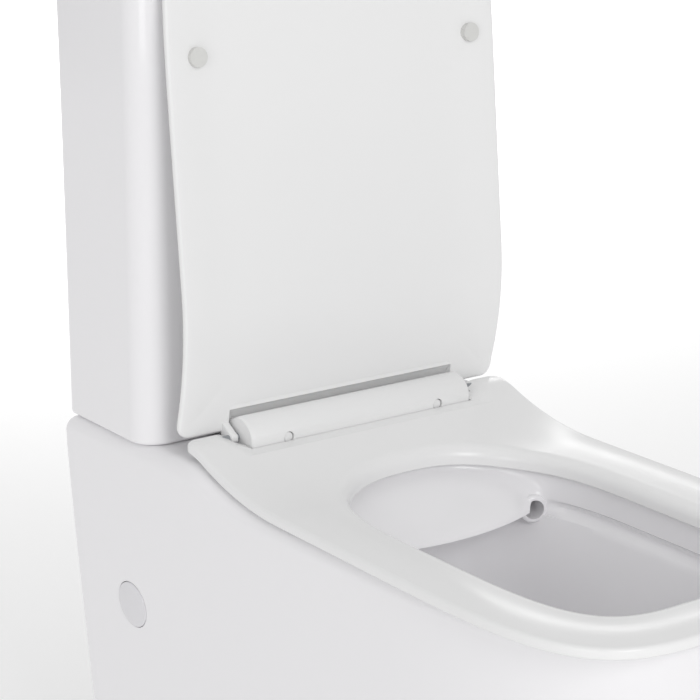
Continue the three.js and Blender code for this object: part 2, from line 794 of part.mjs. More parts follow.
function makeFillValve() {
  const base = valveSeatZ + restGap;
  return turned(fillX, cisternMiddleY, [
    [0, deckHeight - 40], [fillTailRadius, deckHeight - 40], [fillTailRadius, base],
    [20, base], [20, base + 5],
    [fillRadius, base + 5], [fillRadius, base + fillHeight - 30], [24, base + fillHeight - 24],
    [24, base + fillHeight], [0, base + fillHeight],
  ], 16);
}

function makeFloatCup() {
  const top = valveSeatZ + fillHeight - 36;
  const inner = fillRadius + slideGap;
  return turned(fillX, cisternMiddleY, [
    [inner, top - floatHeight], [floatRadius, top - floatHeight], [floatRadius, top], [inner, top],
  ], 16);
}

// ---------- flush buttons ----------

function makeButtonHousing() {
  const top = cisternLidTop + restGap;
  const bottom = cisternLidTop - housingDepth;
  return turned(0, cisternMiddleY, [
    [housingRadius - buttonWall, bottom], [housingRadius, bottom], [housingRadius, top],
    [housingRadius + housingFlange, top], [housingRadius + housingFlange, top + 2],
    [housingRadius - buttonWall, top + 2],
  ], 28);
}

// One side of the round button, cut straight where the two buttons meet.
function makeButton(fromX, toX) {
  const top = cisternLidTop + buttonProud;
  const radius = housingRadius - buttonWall - slideGap;
  const disc = upright(0, cisternMiddleY, top - buttonHeight, top, radius, 28);
  return disc.intersect(box(fromX, toX, cisternMiddleY - 60, cisternMiddleY + 60, top - 20, top + 20));
}

function makePushRod(side) {
  const top = cisternLidTop + buttonProud - buttonHeight - restGap;
  const bottom = valveSeatZ + 2 * restGap + valveHeight + valveHeadHeight + buttonTravel + 1.5;
  return upright(side * rodOffset, cisternMiddleY, bottom, top, rodRadius, 12);
}

function makeHousingBridge() {
  const inner = housingRadius - buttonWall - slideGap;
  const through = [bridgeTop - 10, bridgeTop + 10];
  let bridge = upright(0, cisternMiddleY, bridgeTop - 4, bridgeTop, inner, 20);
  for (const side of [-1, 1]) {
    bridge = cut(bridge, upright(side * rodOffset, cisternMiddleY, ...through, rodRadius + restGap, 12));
  }
  return cut(bridge, upright(0, cisternMiddleY, ...through, 14));
}

function makeReturnSpring(side) {
  const top = cisternLidTop + buttonProud - buttonHeight - 3 * restGap;
  const bottom = bridgeTop + 2 * restGap;
  const height = top - bottom - 2 * springWire;
  class Helix extends THREE.Curve {
    getPoint(t, target = new THREE.Vector3()) {
      const angle = 2 * Math.PI * springTurns * t;
      return target.set(coilRadius * Math.cos(angle), coilRadius * Math.sin(angle), height * t);
    }
  }
  const section = Array.from({ length: 4 }, (_, i) => {
    const angle = i * Math.PI / 2;
    return new THREE.Vector2(springWire * Math.cos(angle), springWire * Math.sin(angle));
  });
  const options = { steps: springTurns * 8, extrudePath: new Helix(), bevelEnabled: false };
  const geometry = new THREE.ExtrudeGeometry(new THREE.Shape(section), options);
  geometry.translate(side * rodOffset, cisternMiddleY, bottom + springWire);
  return solidOf(geometry);
}

// ---------- pan fixings ----------

function makeSideCap(side, y, z, radius, sink, plug) {
  const disc = crosswise(-sink + restGap, 0.6, 0, 0, radius, 24);
  return againstSide(side, y, z, plug > 0 ? disc.add(crosswise(-sink - 8, 0, 0, 0, plug)) : disc);
}

function makeFloorBracket(side) {
  const outer = sideWallX(sideScrewY - bracketWidth / 2, 0) - panWall - 6;
  const y0 = sideScrewY - bracketWidth / 2;
  const y1 = sideScrewY + bracketWidth / 2;
  const base = box(outer - bracketFoot, outer, y0, y1, restGap, bracketThickness);
  const wall = box(outer - bracketThickness, outer, y0, y1, restGap, sideScrewZ + 15);
  // The screw stands square to the sloping wall, so it strays sideways on its way in to the bracket.
  const reach = sideWallX(sideScrewY, sideScrewZ) - outer + bracketThickness;
  const slopeY = (sideWallX(sideScrewY + 1, sideScrewZ) - sideWallX(sideScrewY - 1, sideScrewZ)) / 2;
  const slopeZ = (sideWallX(sideScrewY, sideScrewZ + 1) - sideWallX(sideScrewY, sideScrewZ - 1)) / 2;
  const holeRadius = sideScrewRadius + reach * Math.hypot(slopeY, slopeZ) + 2 * restGap;
  const screwHole = crosswise(outer - 20, outer + 20, sideScrewY, sideScrewZ, holeRadius, 12);
  const floorHole = upright(outer - 24, sideScrewY, -5, 20, 4.4, 12);
  const bracket = cut(base.add(wall), screwHole, floorHole);
  return side > 0 ? bracket : mirrored(bracket);
}

function mirrored(solid) {
  const geometry = geometryOf(solid);
  geometry.rotateZ(Math.PI);
  geometry.translate(0, 2 * sideScrewY, 0);
  return solidOf(geometry);
}

function makeSideScrew(side) {
  const head = crosswise(-4.6, -1.6, 0, 0, 2 * sideScrewRadius, 12);
  const shank = crosswise(-24, -4, 0, 0, sideScrewRadius, 12);
  return againstSide(side, sideScrewY, sideScrewZ, head.add(shank));
}

// ---------- assembly ----------

const finishes = {
  ceramic: { color: '#eceaee', roughness: 0.12, metalness: 0 },
  seatPlastic: { color: '#efeeee', roughness: 0.2, metalness: 0 },
  whitePlastic: { color: '#e2e2e0', roughness: 0.4, metalness: 0 },
  greyPlastic: { color: '#8d9196', roughness: 0.5, metalness: 0 },
  bluePlastic: { color: '#3f6f9f', roughness: 0.5, metalness: 0 },
  rubber: { color: '#2b2b2d', roughness: 0.8, metalness: 0 },
  paleRubber: { color: '#dcdcda', roughness: 0.7, metalness: 0 },
  chrome: { color: '#c9ccd0', roughness: 0.12, metalness: 1 },
  steel: { color: '#9da1a5', roughness: 0.35, metalness: 1 },
  brass: { color: '#b8974f', roughness: 0.35, metalness: 1 },
};

const toilet = new THREE.Group();

function place(name, solid, finish) {
  const mesh = new THREE.Mesh(geometryOf(solid), new THREE.MeshStandardMaterial(finishes[finish]));
  mesh.name = name;
  toilet.add(mesh);
}

const sides = { left: -1, right: 1 };

place('pan', makePan(), 'ceramic');
place('cistern_tank', makeCisternTank(), 'ceramic');
place('cistern_lid', makeCisternLid(), 'ceramic');
place('seat_ring', makeSeatRing(), 'seatPlastic');
place('seat_lid', makeSeatLid(), 'seatPlastic');
seatBufferPlaces.forEach(([x, y], i) => place(`seat_buffer_${i + 1}`, makeSeatBuffer(x, y), 'paleRubber'));
lidBufferPlaces.forEach(([x, y], i) => place(`lid_buffer_${i + 1}`, makeLidBuffer(x, y), 'paleRubber'));
place('hinge_cover', makeHingeCover(), 'seatPlastic');
place('flush_valve_body', makeFlushValveBody(), 'whitePlastic');
place('flush_valve_head', makeFlushValveHead(), 'bluePlastic');
place('flush_valve_tube', makeFlushValveTube(), 'greyPlastic');
place('flush_valve_seal', makeFlushValveSeal(), 'rubber');
place('flush_backnut', makeFlushBackNut(), 'whitePlastic');
place('doughnut_gasket', makeDoughnutGasket(), 'rubber');
place('fill_valve', makeFillValve(), 'whitePlastic');
place('float_cup', makeFloatCup(), 'bluePlastic');
place('inlet_nut', makeNut(
  fillX, cisternMiddleY, cisternBottom - restGap - 10, 10, 17, fillTailRadius + slideGap), 'brass');
place('button_housing', makeButtonHousing(), 'chrome');
place('housing_bridge', makeHousingBridge(), 'whitePlastic');
place('full_flush_button', makeButton(-60, buttonSplitX - restGap), 'chrome');
place('half_flush_button', makeButton(buttonSplitX + restGap, 60), 'chrome');
place('full_push_rod', makePushRod(-1), 'whitePlastic');
place('half_push_rod', makePushRod(1), 'whitePlastic');
place('full_return_spring', makeReturnSpring(-1), 'steel');
place('half_return_spring', makeReturnSpring(1), 'steel');
for (const [name, side] of Object.entries(sides)) {
  const hingeX = side * hingeSpacing / 2;
  const coupleX = side * boltX;
  const underDeck = deckHeight - deckThickness;
  place(`hinge_base_plate_${name}`, makeBasePlate(side), 'steel');
  place(`hinge_bolt_${name}`, makeHingeBolt(side), 'steel');
  place(`hinge_post_${name}`, makeHingePost(side), 'greyPlastic');
  place(`hinge_pin_${name}`, makeHingePin(side), 'steel');
  place(`hinge_damper_${name}`, makeDamper(side), 'greyPlastic');
  place(`release_button_${name}`, makeReleaseButton(side), 'seatPlastic');
  place(`hinge_washer_${name}`,
    makeWasher(
      hingeX, hingeY, underDeck - restGap - washerThickness, washerThickness, 12, boltRadius + restGap),
    'rubber');
  const wingTop = underDeck - 2 * restGap - washerThickness;
  place(`hinge_wing_nut_${name}`, makeWingNut(hingeX, hingeY, wingTop - nutHeight), 'whitePlastic');
  place(`coupling_bolt_${name}`, makeCouplingBolt(side), 'brass');
  place(`coupling_seal_${name}`,
    makeWasher(coupleX, cisternMiddleY, valveSeatZ + restGap, sealThickness, 13, boltRadius + restGap),
    'rubber');
  place(`coupling_nut_${name}`,
    makeNut(coupleX, cisternMiddleY, underDeck - restGap - nutHeight, nutHeight, 10, boltRadius + restGap),
    'brass');
  place(
    `access_cap_${name}`,
    makeSideCap(side, capY, capZ, capRadius, capSink, capRadius - 3), 'whitePlastic');
  place(
    `fixing_cap_${name}`,
    makeSideCap(side, sideScrewY, sideScrewZ, sideScrewSink - 0.6, 1.2, 0), 'whitePlastic');
  place(`side_screw_${name}`, makeSideScrew(side), 'steel');
  place(`floor_bracket_${name}`, makeFloorBracket(side), 'steel');
}

toilet.position.y = -(panRearY + seatFrontY) / 2;

export default toilet;
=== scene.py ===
"""Close coupled toilet: the visible surfaces and finishes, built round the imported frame.

The z axis points up, the wall is towards +Y and the bowl's front faces -Y. The classes below hold their
sizes in millimetres. Lengths along Y are counted from the front face of the hinge cover, and heights
from the floor.
"""

import json
import logging
import math
from dataclasses import dataclass, field
from enum import Enum
from typing import Optional, Sequence

import bpy
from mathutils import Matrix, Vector

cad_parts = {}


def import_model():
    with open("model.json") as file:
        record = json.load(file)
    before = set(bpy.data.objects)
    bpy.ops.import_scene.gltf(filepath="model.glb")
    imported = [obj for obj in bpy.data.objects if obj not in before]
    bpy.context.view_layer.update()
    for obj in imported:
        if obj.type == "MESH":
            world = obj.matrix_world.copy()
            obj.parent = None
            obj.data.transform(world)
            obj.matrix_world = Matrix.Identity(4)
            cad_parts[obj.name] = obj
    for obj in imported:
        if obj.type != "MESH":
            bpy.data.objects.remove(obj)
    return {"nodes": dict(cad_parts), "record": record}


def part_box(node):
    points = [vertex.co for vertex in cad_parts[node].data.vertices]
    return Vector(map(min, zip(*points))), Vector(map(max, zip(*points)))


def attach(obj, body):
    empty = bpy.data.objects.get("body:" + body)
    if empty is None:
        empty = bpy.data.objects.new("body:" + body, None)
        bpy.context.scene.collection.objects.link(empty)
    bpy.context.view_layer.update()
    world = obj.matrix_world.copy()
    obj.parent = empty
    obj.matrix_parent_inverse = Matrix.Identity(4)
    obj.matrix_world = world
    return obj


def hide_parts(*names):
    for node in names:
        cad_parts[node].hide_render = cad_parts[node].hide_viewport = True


LOG = logging.getLogger("toilet")
MM = 0.001

Plan = tuple[float, float]
Ring = list[Vector]


class End(Enum):
    """How one end of a ringed body is finished."""

    CAP = "cap"
    JOINED = "joined"


class Cut(Enum):
    """The two ways a helper solid changes a piece."""

    AWAY = "DIFFERENCE"
    ONTO = "UNION"


# ---------- workbench ----------


def deselect() -> None:
    """Leaves nothing selected."""
    if bpy.context.object is not None and bpy.context.object.mode != "OBJECT":
        bpy.ops.object.mode_set(mode="OBJECT")
    bpy.ops.object.select_all(action="DESELECT")


def pick(piece: bpy.types.Object) -> None:
    """Makes one object the only selected and the active one.

    Args:
        piece: The mesh object.
    """
    deselect()
    piece.select_set(True)
    bpy.context.view_layer.objects.active = piece


def settle(piece: bpy.types.Object) -> None:
    """Moves the object's place, turn and scale into its mesh."""
    pick(piece)
    bpy.ops.object.transform_apply(location=True, rotation=True, scale=True)


def close_up(piece: bpy.types.Object, distance: float = 1e-6) -> None:
    """Merges doubled points and turns all faces outwards.

    Args:
        piece: The mesh object to clean.
        distance: Points closer than this, in metres, become one.
    """
    pick(piece)
    bpy.ops.object.mode_set(mode="EDIT")
    bpy.ops.mesh.select_all(action="SELECT")
    bpy.ops.mesh.remove_doubles(threshold=distance)
    bpy.ops.mesh.dissolve_degenerate()
    bpy.ops.mesh.normals_make_consistent(inside=False)
    bpy.ops.object.mode_set(mode="OBJECT")


def smooth(piece: bpy.types.Object, degrees: float = 32.0) -> None:
    """Smooth shading, with edges sharper than the angle left crisp."""
    pick(piece)
    bpy.ops.object.shade_smooth_by_angle(angle=math.radians(degrees))


def soften(piece: bpy.types.Object, width_mm: float, segments: int = 2, degrees: float = 40.0) -> None:
    """Rounds a piece's sharp edges with a bevel that is applied.

    Args:
        piece: The mesh object to round.
        width_mm: Width of the bevel.
        segments: Number of steps round each edge.
        degrees: Only edges sharper than this are rounded.
    """
    pick(piece)
    bevel = piece.modifiers.new("rounding", "BEVEL")
    bevel.width = width_mm * MM
    bevel.segments = segments
    bevel.limit_method = "ANGLE"
    bevel.angle_limit = math.radians(degrees)
    bevel.use_clamp_overlap = True
    bpy.ops.object.modifier_apply(modifier=bevel.name)


def combine(piece: bpy.types.Object, helper: bpy.types.Object, how: Cut) -> None:
    """Cuts a helper solid away from a piece, or joins it on, and removes the helper.

    Args:
        piece: The mesh object.
        helper: The helper solid.
        how: Cut away or joined on.
    """
    pick(piece)
    boolean = piece.modifiers.new("cut", "BOOLEAN")
    boolean.operation = how.value
    boolean.solver = "EXACT"
    boolean.object = helper
    bpy.ops.object.modifier_apply(modifier=boolean.name)
    bpy.data.objects.remove(helper, do_unlink=True)


def together(pieces: Sequence[bpy.types.Object]) -> bpy.types.Object:
    """Joins separate meshes into the first one and returns it.

    Args:
        pieces: The mesh objects.

    Returns:
        The mesh object.
    """
    deselect()
    for piece in pieces:
        piece.select_set(True)
    bpy.context.view_layer.objects.active = pieces[0]
    if len(pieces) > 1:
        bpy.ops.object.join()
    return pieces[0]


def ring_body(name: str, rings: Sequence[Ring], start: End, finish: End) -> bpy.types.Object:
    """A skin drawn ring by ring: a circle is added, then its edge loop is extruded to each next ring.

    Args:
        name: Name of the new object.
        rings: Loops of points, all with the same number of points in the same order.
        start: How the first ring is closed.
        finish: How the last ring is closed.

    Returns:
        The closed mesh object, with its faces pointing outwards.
    """
    count = len(rings[0])
    deselect()
    bpy.ops.mesh.primitive_circle_add(vertices=count, radius=1.0, fill_type="NOTHING", location=(0, 0, 0))
    piece = bpy.context.active_object
    piece.name = name
    mesh = piece.data
    for vertex, point in zip(mesh.vertices, rings[0]):
        vertex.co = point
    for ring in rings[1:]:
        bpy.ops.object.mode_set(mode="EDIT")
        bpy.ops.mesh.extrude_region_move()
        bpy.ops.object.mode_set(mode="OBJECT")
        base = len(mesh.vertices) - count
        for index, point in enumerate(ring):
            mesh.vertices[base + index].co = point
    for end, base in ((start, 0), (finish, len(mesh.vertices) - count)):
        if end is End.CAP:
            fill_loop(piece, range(base, base + count))
    close_up(piece)
    return piece


def fill_loop(piece: bpy.types.Object, indices: Sequence[int]) -> None:
    """Fills one loop of points with a face.

    Args:
        piece: The mesh object.
        indices: Numbers of the points round the loop.
    """
    pick(piece)
    bpy.ops.object.mode_set(mode="EDIT")
    bpy.ops.mesh.select_all(action="DESELECT")
    bpy.ops.object.mode_set(mode="OBJECT")
    for index in indices:
        piece.data.vertices[index].select = True
    bpy.ops.object.mode_set(mode="EDIT")
    bpy.ops.mesh.select_mode(type="VERT")
    bpy.ops.mesh.edge_face_add()
    bpy.ops.object.mode_set(mode="OBJECT")


def turned(
    name: str, centre: Plan, profile: Sequence[Plan], hollow: bool = False, steps: int = 48
) -> bpy.types.Object:
    """A turned piece about a vertical line.

    Args:
        name: Name of the new object.
        centre: Its axis in plan, in metres.
        profile: Radius and height pairs in millimetres, in order round the section.
        hollow: True for a ring, whose section closes on itself.
        steps: Number of points round the piece.

    Returns:
        The mesh object.
    """
    outline = list(profile) + ([profile[0]] if hollow else [])
    rings = []
    for radius, height in outline:
        rings.append([
            Vector((
                centre[0] + radius * MM * math.cos(2 * math.pi * i / steps),
                centre[1] + radius * MM * math.sin(2 * math.pi * i / steps),
                height * MM,
            ))
            for i in range(steps)
        ])
    end = End.JOINED if hollow else End.CAP
    return ring_body(name, rings, end, end)


def rod(
    name: str, start: Vector, finish: Vector, radius_mm: float, steps: int = 32
) -> bpy.types.Object:
    """A plain round bar between two points, used as a helper solid or as the start of a piece.

    Args:
        name: Name of the new object.
        start: One end.
        finish: The other end.
        radius_mm: Radius in millimetres.
        steps: Points round it.

    Returns:
        The mesh object.
    """
    deselect()
    along = finish - start
    bpy.ops.mesh.primitive_cylinder_add(
        vertices=steps, radius=radius_mm * MM, depth=along.length, location=(0, 0, 0)
    )
    bar = bpy.context.active_object
    bar.name = name
    bar.rotation_mode = "QUATERNION"
    bar.rotation_quaternion = along.to_track_quat("Z", "Y")
    bar.location = (start + finish) / 2
    settle(bar)
    return bar


def block(name: str, low: Vector, high: Vector) -> bpy.types.Object:
    """A cube stretched between two corners.

    Args:
        name: Name of the new object.
        low: Lowest corner.
        high: Highest corner.

    Returns:
        The mesh object.
    """
    deselect()
    bpy.ops.mesh.primitive_cube_add(size=1.0, location=(low + high) / 2)
    cube = bpy.context.active_object
    cube.name = name
    cube.scale = high - low
    settle(cube)
    return cube


def ease(value: float) -> float:
    """A soft step from 0 to 1."""
    share = min(1.0, max(0.0, value))
    return share * share * (3.0 - 2.0 * share)


def quarter(steps: int, first: int = 1) -> list[Plan]:
    """Sines and cosines of even steps through a quarter turn, for rounding an edge.

    Args:
        steps: Number of steps in the quarter turn.
        first: The step to begin with, 0 for the start of the turn.

    Returns:
        A sine and cosine for each step.
    """
    angles = [math.pi / 2 * step / steps for step in range(first, steps + 1)]
    return [(math.sin(angle), math.cos(angle)) for angle in angles]


def blended(first: float, second: float, share: float) -> float:
    """A value part of the way between two others."""
    return first + (second - first) * share


# ---------- shared outlines ----------


@dataclass(frozen=True)
class Rise:
    """How a level surface lifts towards the wall: flat in front, a growing slope, then level again."""

    height: float
    run: float = 105.6
    rest: float = 11.8

    def at(self, y: float) -> float:
        """The lift at a distance from the hinge cover, in millimetres.

        Args:
            y: Place along the toilet.

        Returns:
            The value.
        """
        if y <= -self.run:
            return 0.0
        if y <= 0:
            return self.height * (1 + y / self.run) ** 2
        reach = min(y, self.rest)
        slope = 2 * self.height / self.run
        return self.height + slope * (reach - reach * reach / (2 * self.rest))


@dataclass(frozen=True)
class Egg:
    """A rounded plan outline with a squarish front and rear."""

    half: float
    rear: float
    front: float
    middle: float = -200.0
    rear_power: float = 2.5
    front_power: float = 4.7

    def grown(self, amount: float) -> "Egg":
        """The same outline, wider by an amount all round.

        Args:
            amount: How much wider.

        Returns:
            The wider outline.
        """
        return Egg(
            self.half + amount, self.rear + amount, self.front - amount, self.middle,
            self.rear_power, self.front_power,
        )

    def point(self, angle: float) -> Plan:
        """The point of the outline at an angle, 0 at the right and a quarter turn at the rear.

        Args:
            angle: Angle in radians.

        Returns:
            The plan point.
        """
        across, along = math.cos(angle), math.sin(angle)
        power = self.rear_power if along > 0 else self.front_power
        reach = self.rear - self.middle if along > 0 else self.middle - self.front
        scale = (abs(across) ** power + abs(along) ** power) ** (-1 / power)
        return self.half * scale * across, self.middle + reach * scale * along

    def angle_of(self, x: float, y: float) -> float:
        """The angle at which the outline passes nearest to a point."""
        reach = self.rear - self.middle if y > self.middle else self.middle - self.front
        return math.atan2((y - self.middle) / reach, x / self.half)


@dataclass(frozen=True)
class Stations:
    """The numbers of points along each stretch of an outline, from the front centre to the rear centre."""

    front: int = 44
    side: int = 34
    corner: int = 8
    rear: int = 22

    def walk(
        self, half: float, rear: float, middle: float, front: float, power: float, corner: float
    ) -> list[Plan]:
        """Points down one side of an outline with a rounded front, straight sides and a rounded rear corner.

        Args:
            half: Half of the width.
            rear: Rear end.
            middle: Where the straight side starts.
            front: Front end.
            power: How square the front is.
            corner: Radius of the rear corner.

        Returns:
            Plan points from the front centre to the rear centre, both included.
        """
        points: list[Plan] = []
        for i in range(self.front):
            angle = -math.pi / 2 + math.pi / 2 * i / self.front
            across, along = math.cos(angle), math.sin(angle)
            scale = (abs(across) ** power + abs(along) ** power) ** (-1 / power)
            points.append((half * scale * across if i else 0.0, middle + (middle - front) * scale * along))
        for i in range(self.side):
            points.append((half, blended(middle, rear - corner, i / self.side)))
        for i in range(self.corner):
            angle = math.pi / 2 * i / self.corner
            across, along = corner * math.cos(angle), corner * math.sin(angle)
            points.append((half - corner + across, rear - corner + along))
        for i in range(self.rear + 1):
            points.append((blended(half - corner, 0.0, i / self.rear), rear))
        return points


OPENING = Egg(half=110.0, rear=-57.0, front=-404.0)


@dataclass(frozen=True)
class Datum:
    """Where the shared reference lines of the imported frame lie."""

    hinge_face: float

    def at(self, x: float, y: float, z: float) -> Vector:
        """A point in metres from a point in millimetres."""
        return Vector((x * MM, self.hinge_face + y * MM, z * MM))


# ---------- finishes ----------


def linear(code: str) -> tuple[float, float, float, float]:
    """The linear colour of an sRGB hex value.

    Args:
        code: The colour as #rrggbb.

    Returns:
        Linear red, green and blue, and 1.
    """
    parts = [int(code[i : i + 2], 16) / 255 for i in (1, 3, 5)]
    red, green, blue = (c / 12.92 if c <= 0.04045 else ((c + 0.055) / 1.055) ** 2.4 for c in parts)
    return red, green, blue, 1.0


def add_node(
    tree: bpy.types.NodeTree, kind: str, settings: Optional[dict] = None, links: Optional[dict] = None
) -> bpy.types.Node:
    """Adds one shader node.

    Args:
        tree: The material's or world's node tree.
        kind: The node's type name.
        settings: Attribute names, or input names, with their values.
        links: Input names with the output socket that feeds each.

    Returns:
        The new node.
    """
    node = tree.nodes.new(kind)
    for key, value in (settings or {}).items():
        if hasattr(node, key):
            setattr(node, key, value)
        else:
            node.inputs[key].default_value = value
    for key, source in (links or {}).items():
        tree.links.new(source, node.inputs[key])
    return node


@dataclass(frozen=True)
class Finish:
    """A surface with two close colours, a mottled gloss and a fine relief, all from real sizes."""

    name: str
    colour: str
    second_colour: str
    roughness: float
    roughness_spread: float
    mottle_mm: float
    relief_mm: float
    relief_depth_mm: float
    metallic: float = 0.0
    ior: float = 1.5
    coat: float = 0.0
    coat_roughness: float = 0.05
    grain_stretch: tuple[float, float, float] = (1.0, 1.0, 1.0)

    def material(self) -> bpy.types.Material:
        """Builds the material once and returns it.

        Returns:
            The material.
        """
        made = bpy.data.materials.get(self.name)
        if made is not None:
            return made
        made = bpy.data.materials.new(self.name)
        made.use_nodes = True
        tree = made.node_tree
        tree.nodes.clear()
        place = add_node(tree, "ShaderNodeTexCoord")
        grain = add_node(
            tree, "ShaderNodeMapping", {"Scale": self.grain_stretch}, {"Vector": place.outputs["Object"]}
        )
        mottle = add_node(
            tree, "ShaderNodeTexNoise", {"Scale": 1000.0 / self.mottle_mm, "Detail": 3.0, "Roughness": 0.5},
            {"Vector": grain.outputs["Vector"]},
        )
        relief = add_node(
            tree, "ShaderNodeTexNoise", {"Scale": 1000.0 / self.relief_mm, "Detail": 2.0, "Roughness": 0.45},
            {"Vector": grain.outputs["Vector"]},
        )
        tint = add_node(tree, "ShaderNodeMix", {"data_type": "RGBA"}, {"Factor": mottle.outputs["Fac"]})
        tint.inputs[6].default_value = linear(self.colour)
        tint.inputs[7].default_value = linear(self.second_colour)
        gloss = add_node(
            tree, "ShaderNodeMapRange",
            {
                "From Min": 0.3, "From Max": 0.7,
                "To Min": self.roughness - self.roughness_spread,
                "To Max": self.roughness + self.roughness_spread,
            },
            {"Value": relief.outputs["Fac"]},
        )
        bump = add_node(
            tree, "ShaderNodeBump", {"Strength": 1.0, "Distance": self.relief_depth_mm * MM},
            {"Height": relief.outputs["Fac"]},
        )
        shader = add_node(
            tree, "ShaderNodeBsdfPrincipled",
            {
                "Metallic": self.metallic, "IOR": self.ior, "Coat Weight": self.coat,
                "Coat Roughness": self.coat_roughness,
            },
            {
                "Base Color": tint.outputs[2], "Roughness": gloss.outputs["Result"],
                "Normal": bump.outputs["Normal"],
            },
        )
        add_node(tree, "ShaderNodeOutputMaterial", links={"Surface": shader.outputs["BSDF"]})
        return made

    def dress(self, piece: bpy.types.Object) -> None:
        """Gives the whole piece this finish."""
        piece.data.materials.clear()
        piece.data.materials.append(self.material())


# Vitreous china under a fired clear glaze: cool white, mirror-like, with the glaze's slow ripple.
CHINA = Finish("glazed_vitreous_china", "#e6e5e8", "#e3e2e5", 0.09, 0.015, 90.0, 30.0, 0.012, coat=0.3)
# Urea resin pressed in a polished die: neutral white, a soft gloss and hardly any relief.
DUROPLAST = Finish("pressed_urea_resin", "#f1f1f1", "#efefef", 0.24, 0.012, 120.0, 30.0, 0.004)
# ABS moulded in a satin die, for valve bodies: an off-white with a fine texture.
WHITE_ABS = Finish("moulded_white_abs", "#e2e2e0", "#d9d9d6", 0.38, 0.05, 20.0, 1.2, 0.02)
# ABS moulded in a polished die and tinted to match the china it sits in.
CAP_ABS = Finish("moulded_cap_abs", "#e6e5e8", "#e3e2e5", 0.2, 0.02, 60.0, 12.0, 0.006)
# The same moulding in the grey and the blue of valve parts.
GREY_ABS = Finish("moulded_grey_abs", "#8d9196", "#83878c", 0.48, 0.05, 18.0, 1.0, 0.03)
BLUE_ABS = Finish("moulded_blue_abs", "#3f6f9f", "#38648f", 0.45, 0.05, 18.0, 1.0, 0.03)
# Moulded rubber: dull, with the die's fine texture.
BLACK_RUBBER = Finish("moulded_black_rubber", "#2b2b2d", "#232325", 0.78, 0.08, 12.0, 0.8, 0.05)
WHITE_RUBBER = Finish("moulded_white_rubber", "#dcdcda", "#d2d2cf", 0.7, 0.08, 12.0, 0.8, 0.04)
# Bright chromium over polished plastic: faint ripples only.
CHROME = Finish("bright_chrome_plate", "#d9dcdf", "#cfd2d5", 0.07, 0.02, 25.0, 6.0, 0.01, metallic=1.0)
# Drawn stainless steel: fine lines along the drawing direction.
STEEL = Finish(
    "drawn_stainless_steel", "#b3b6ba", "#a3a6aa", 0.33, 0.06, 8.0, 0.7, 0.02, metallic=1.0,
    grain_stretch=(1.0, 1.0, 0.1),
)
# Brass turned on a lathe: rings a fraction of a millimetre apart.
BRASS = Finish(
    "turned_brass", "#c2a25c", "#a98a49", 0.32, 0.06, 8.0, 0.6, 0.02, metallic=1.0,
    grain_stretch=(0.3, 0.3, 1.6),
)

SLOT_FINISHES = {
    "glazed_vitreous_china": CHINA,
    "seat_duroplast": DUROPLAST,
    "white_plastic": WHITE_ABS,
    "grey_plastic": GREY_ABS,
    "blue_plastic": BLUE_ABS,
    "rubber": BLACK_RUBBER,
    "pale_rubber": WHITE_RUBBER,
    "chrome": CHROME,
    "steel": STEEL,
    "brass": BRASS,
}


def install(piece: bpy.types.Object, finish: Finish, slot: str, body: str, *nodes: str) -> None:
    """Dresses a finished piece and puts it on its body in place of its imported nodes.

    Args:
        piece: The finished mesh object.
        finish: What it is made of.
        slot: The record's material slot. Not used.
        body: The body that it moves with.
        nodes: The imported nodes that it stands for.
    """
    finish.dress(piece)
    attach(piece, body)
    if nodes:
        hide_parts(*nodes)
    LOG.info("%s: %d points, on %s", piece.name, len(piece.data.vertices), body)


# ---------- pan ----------


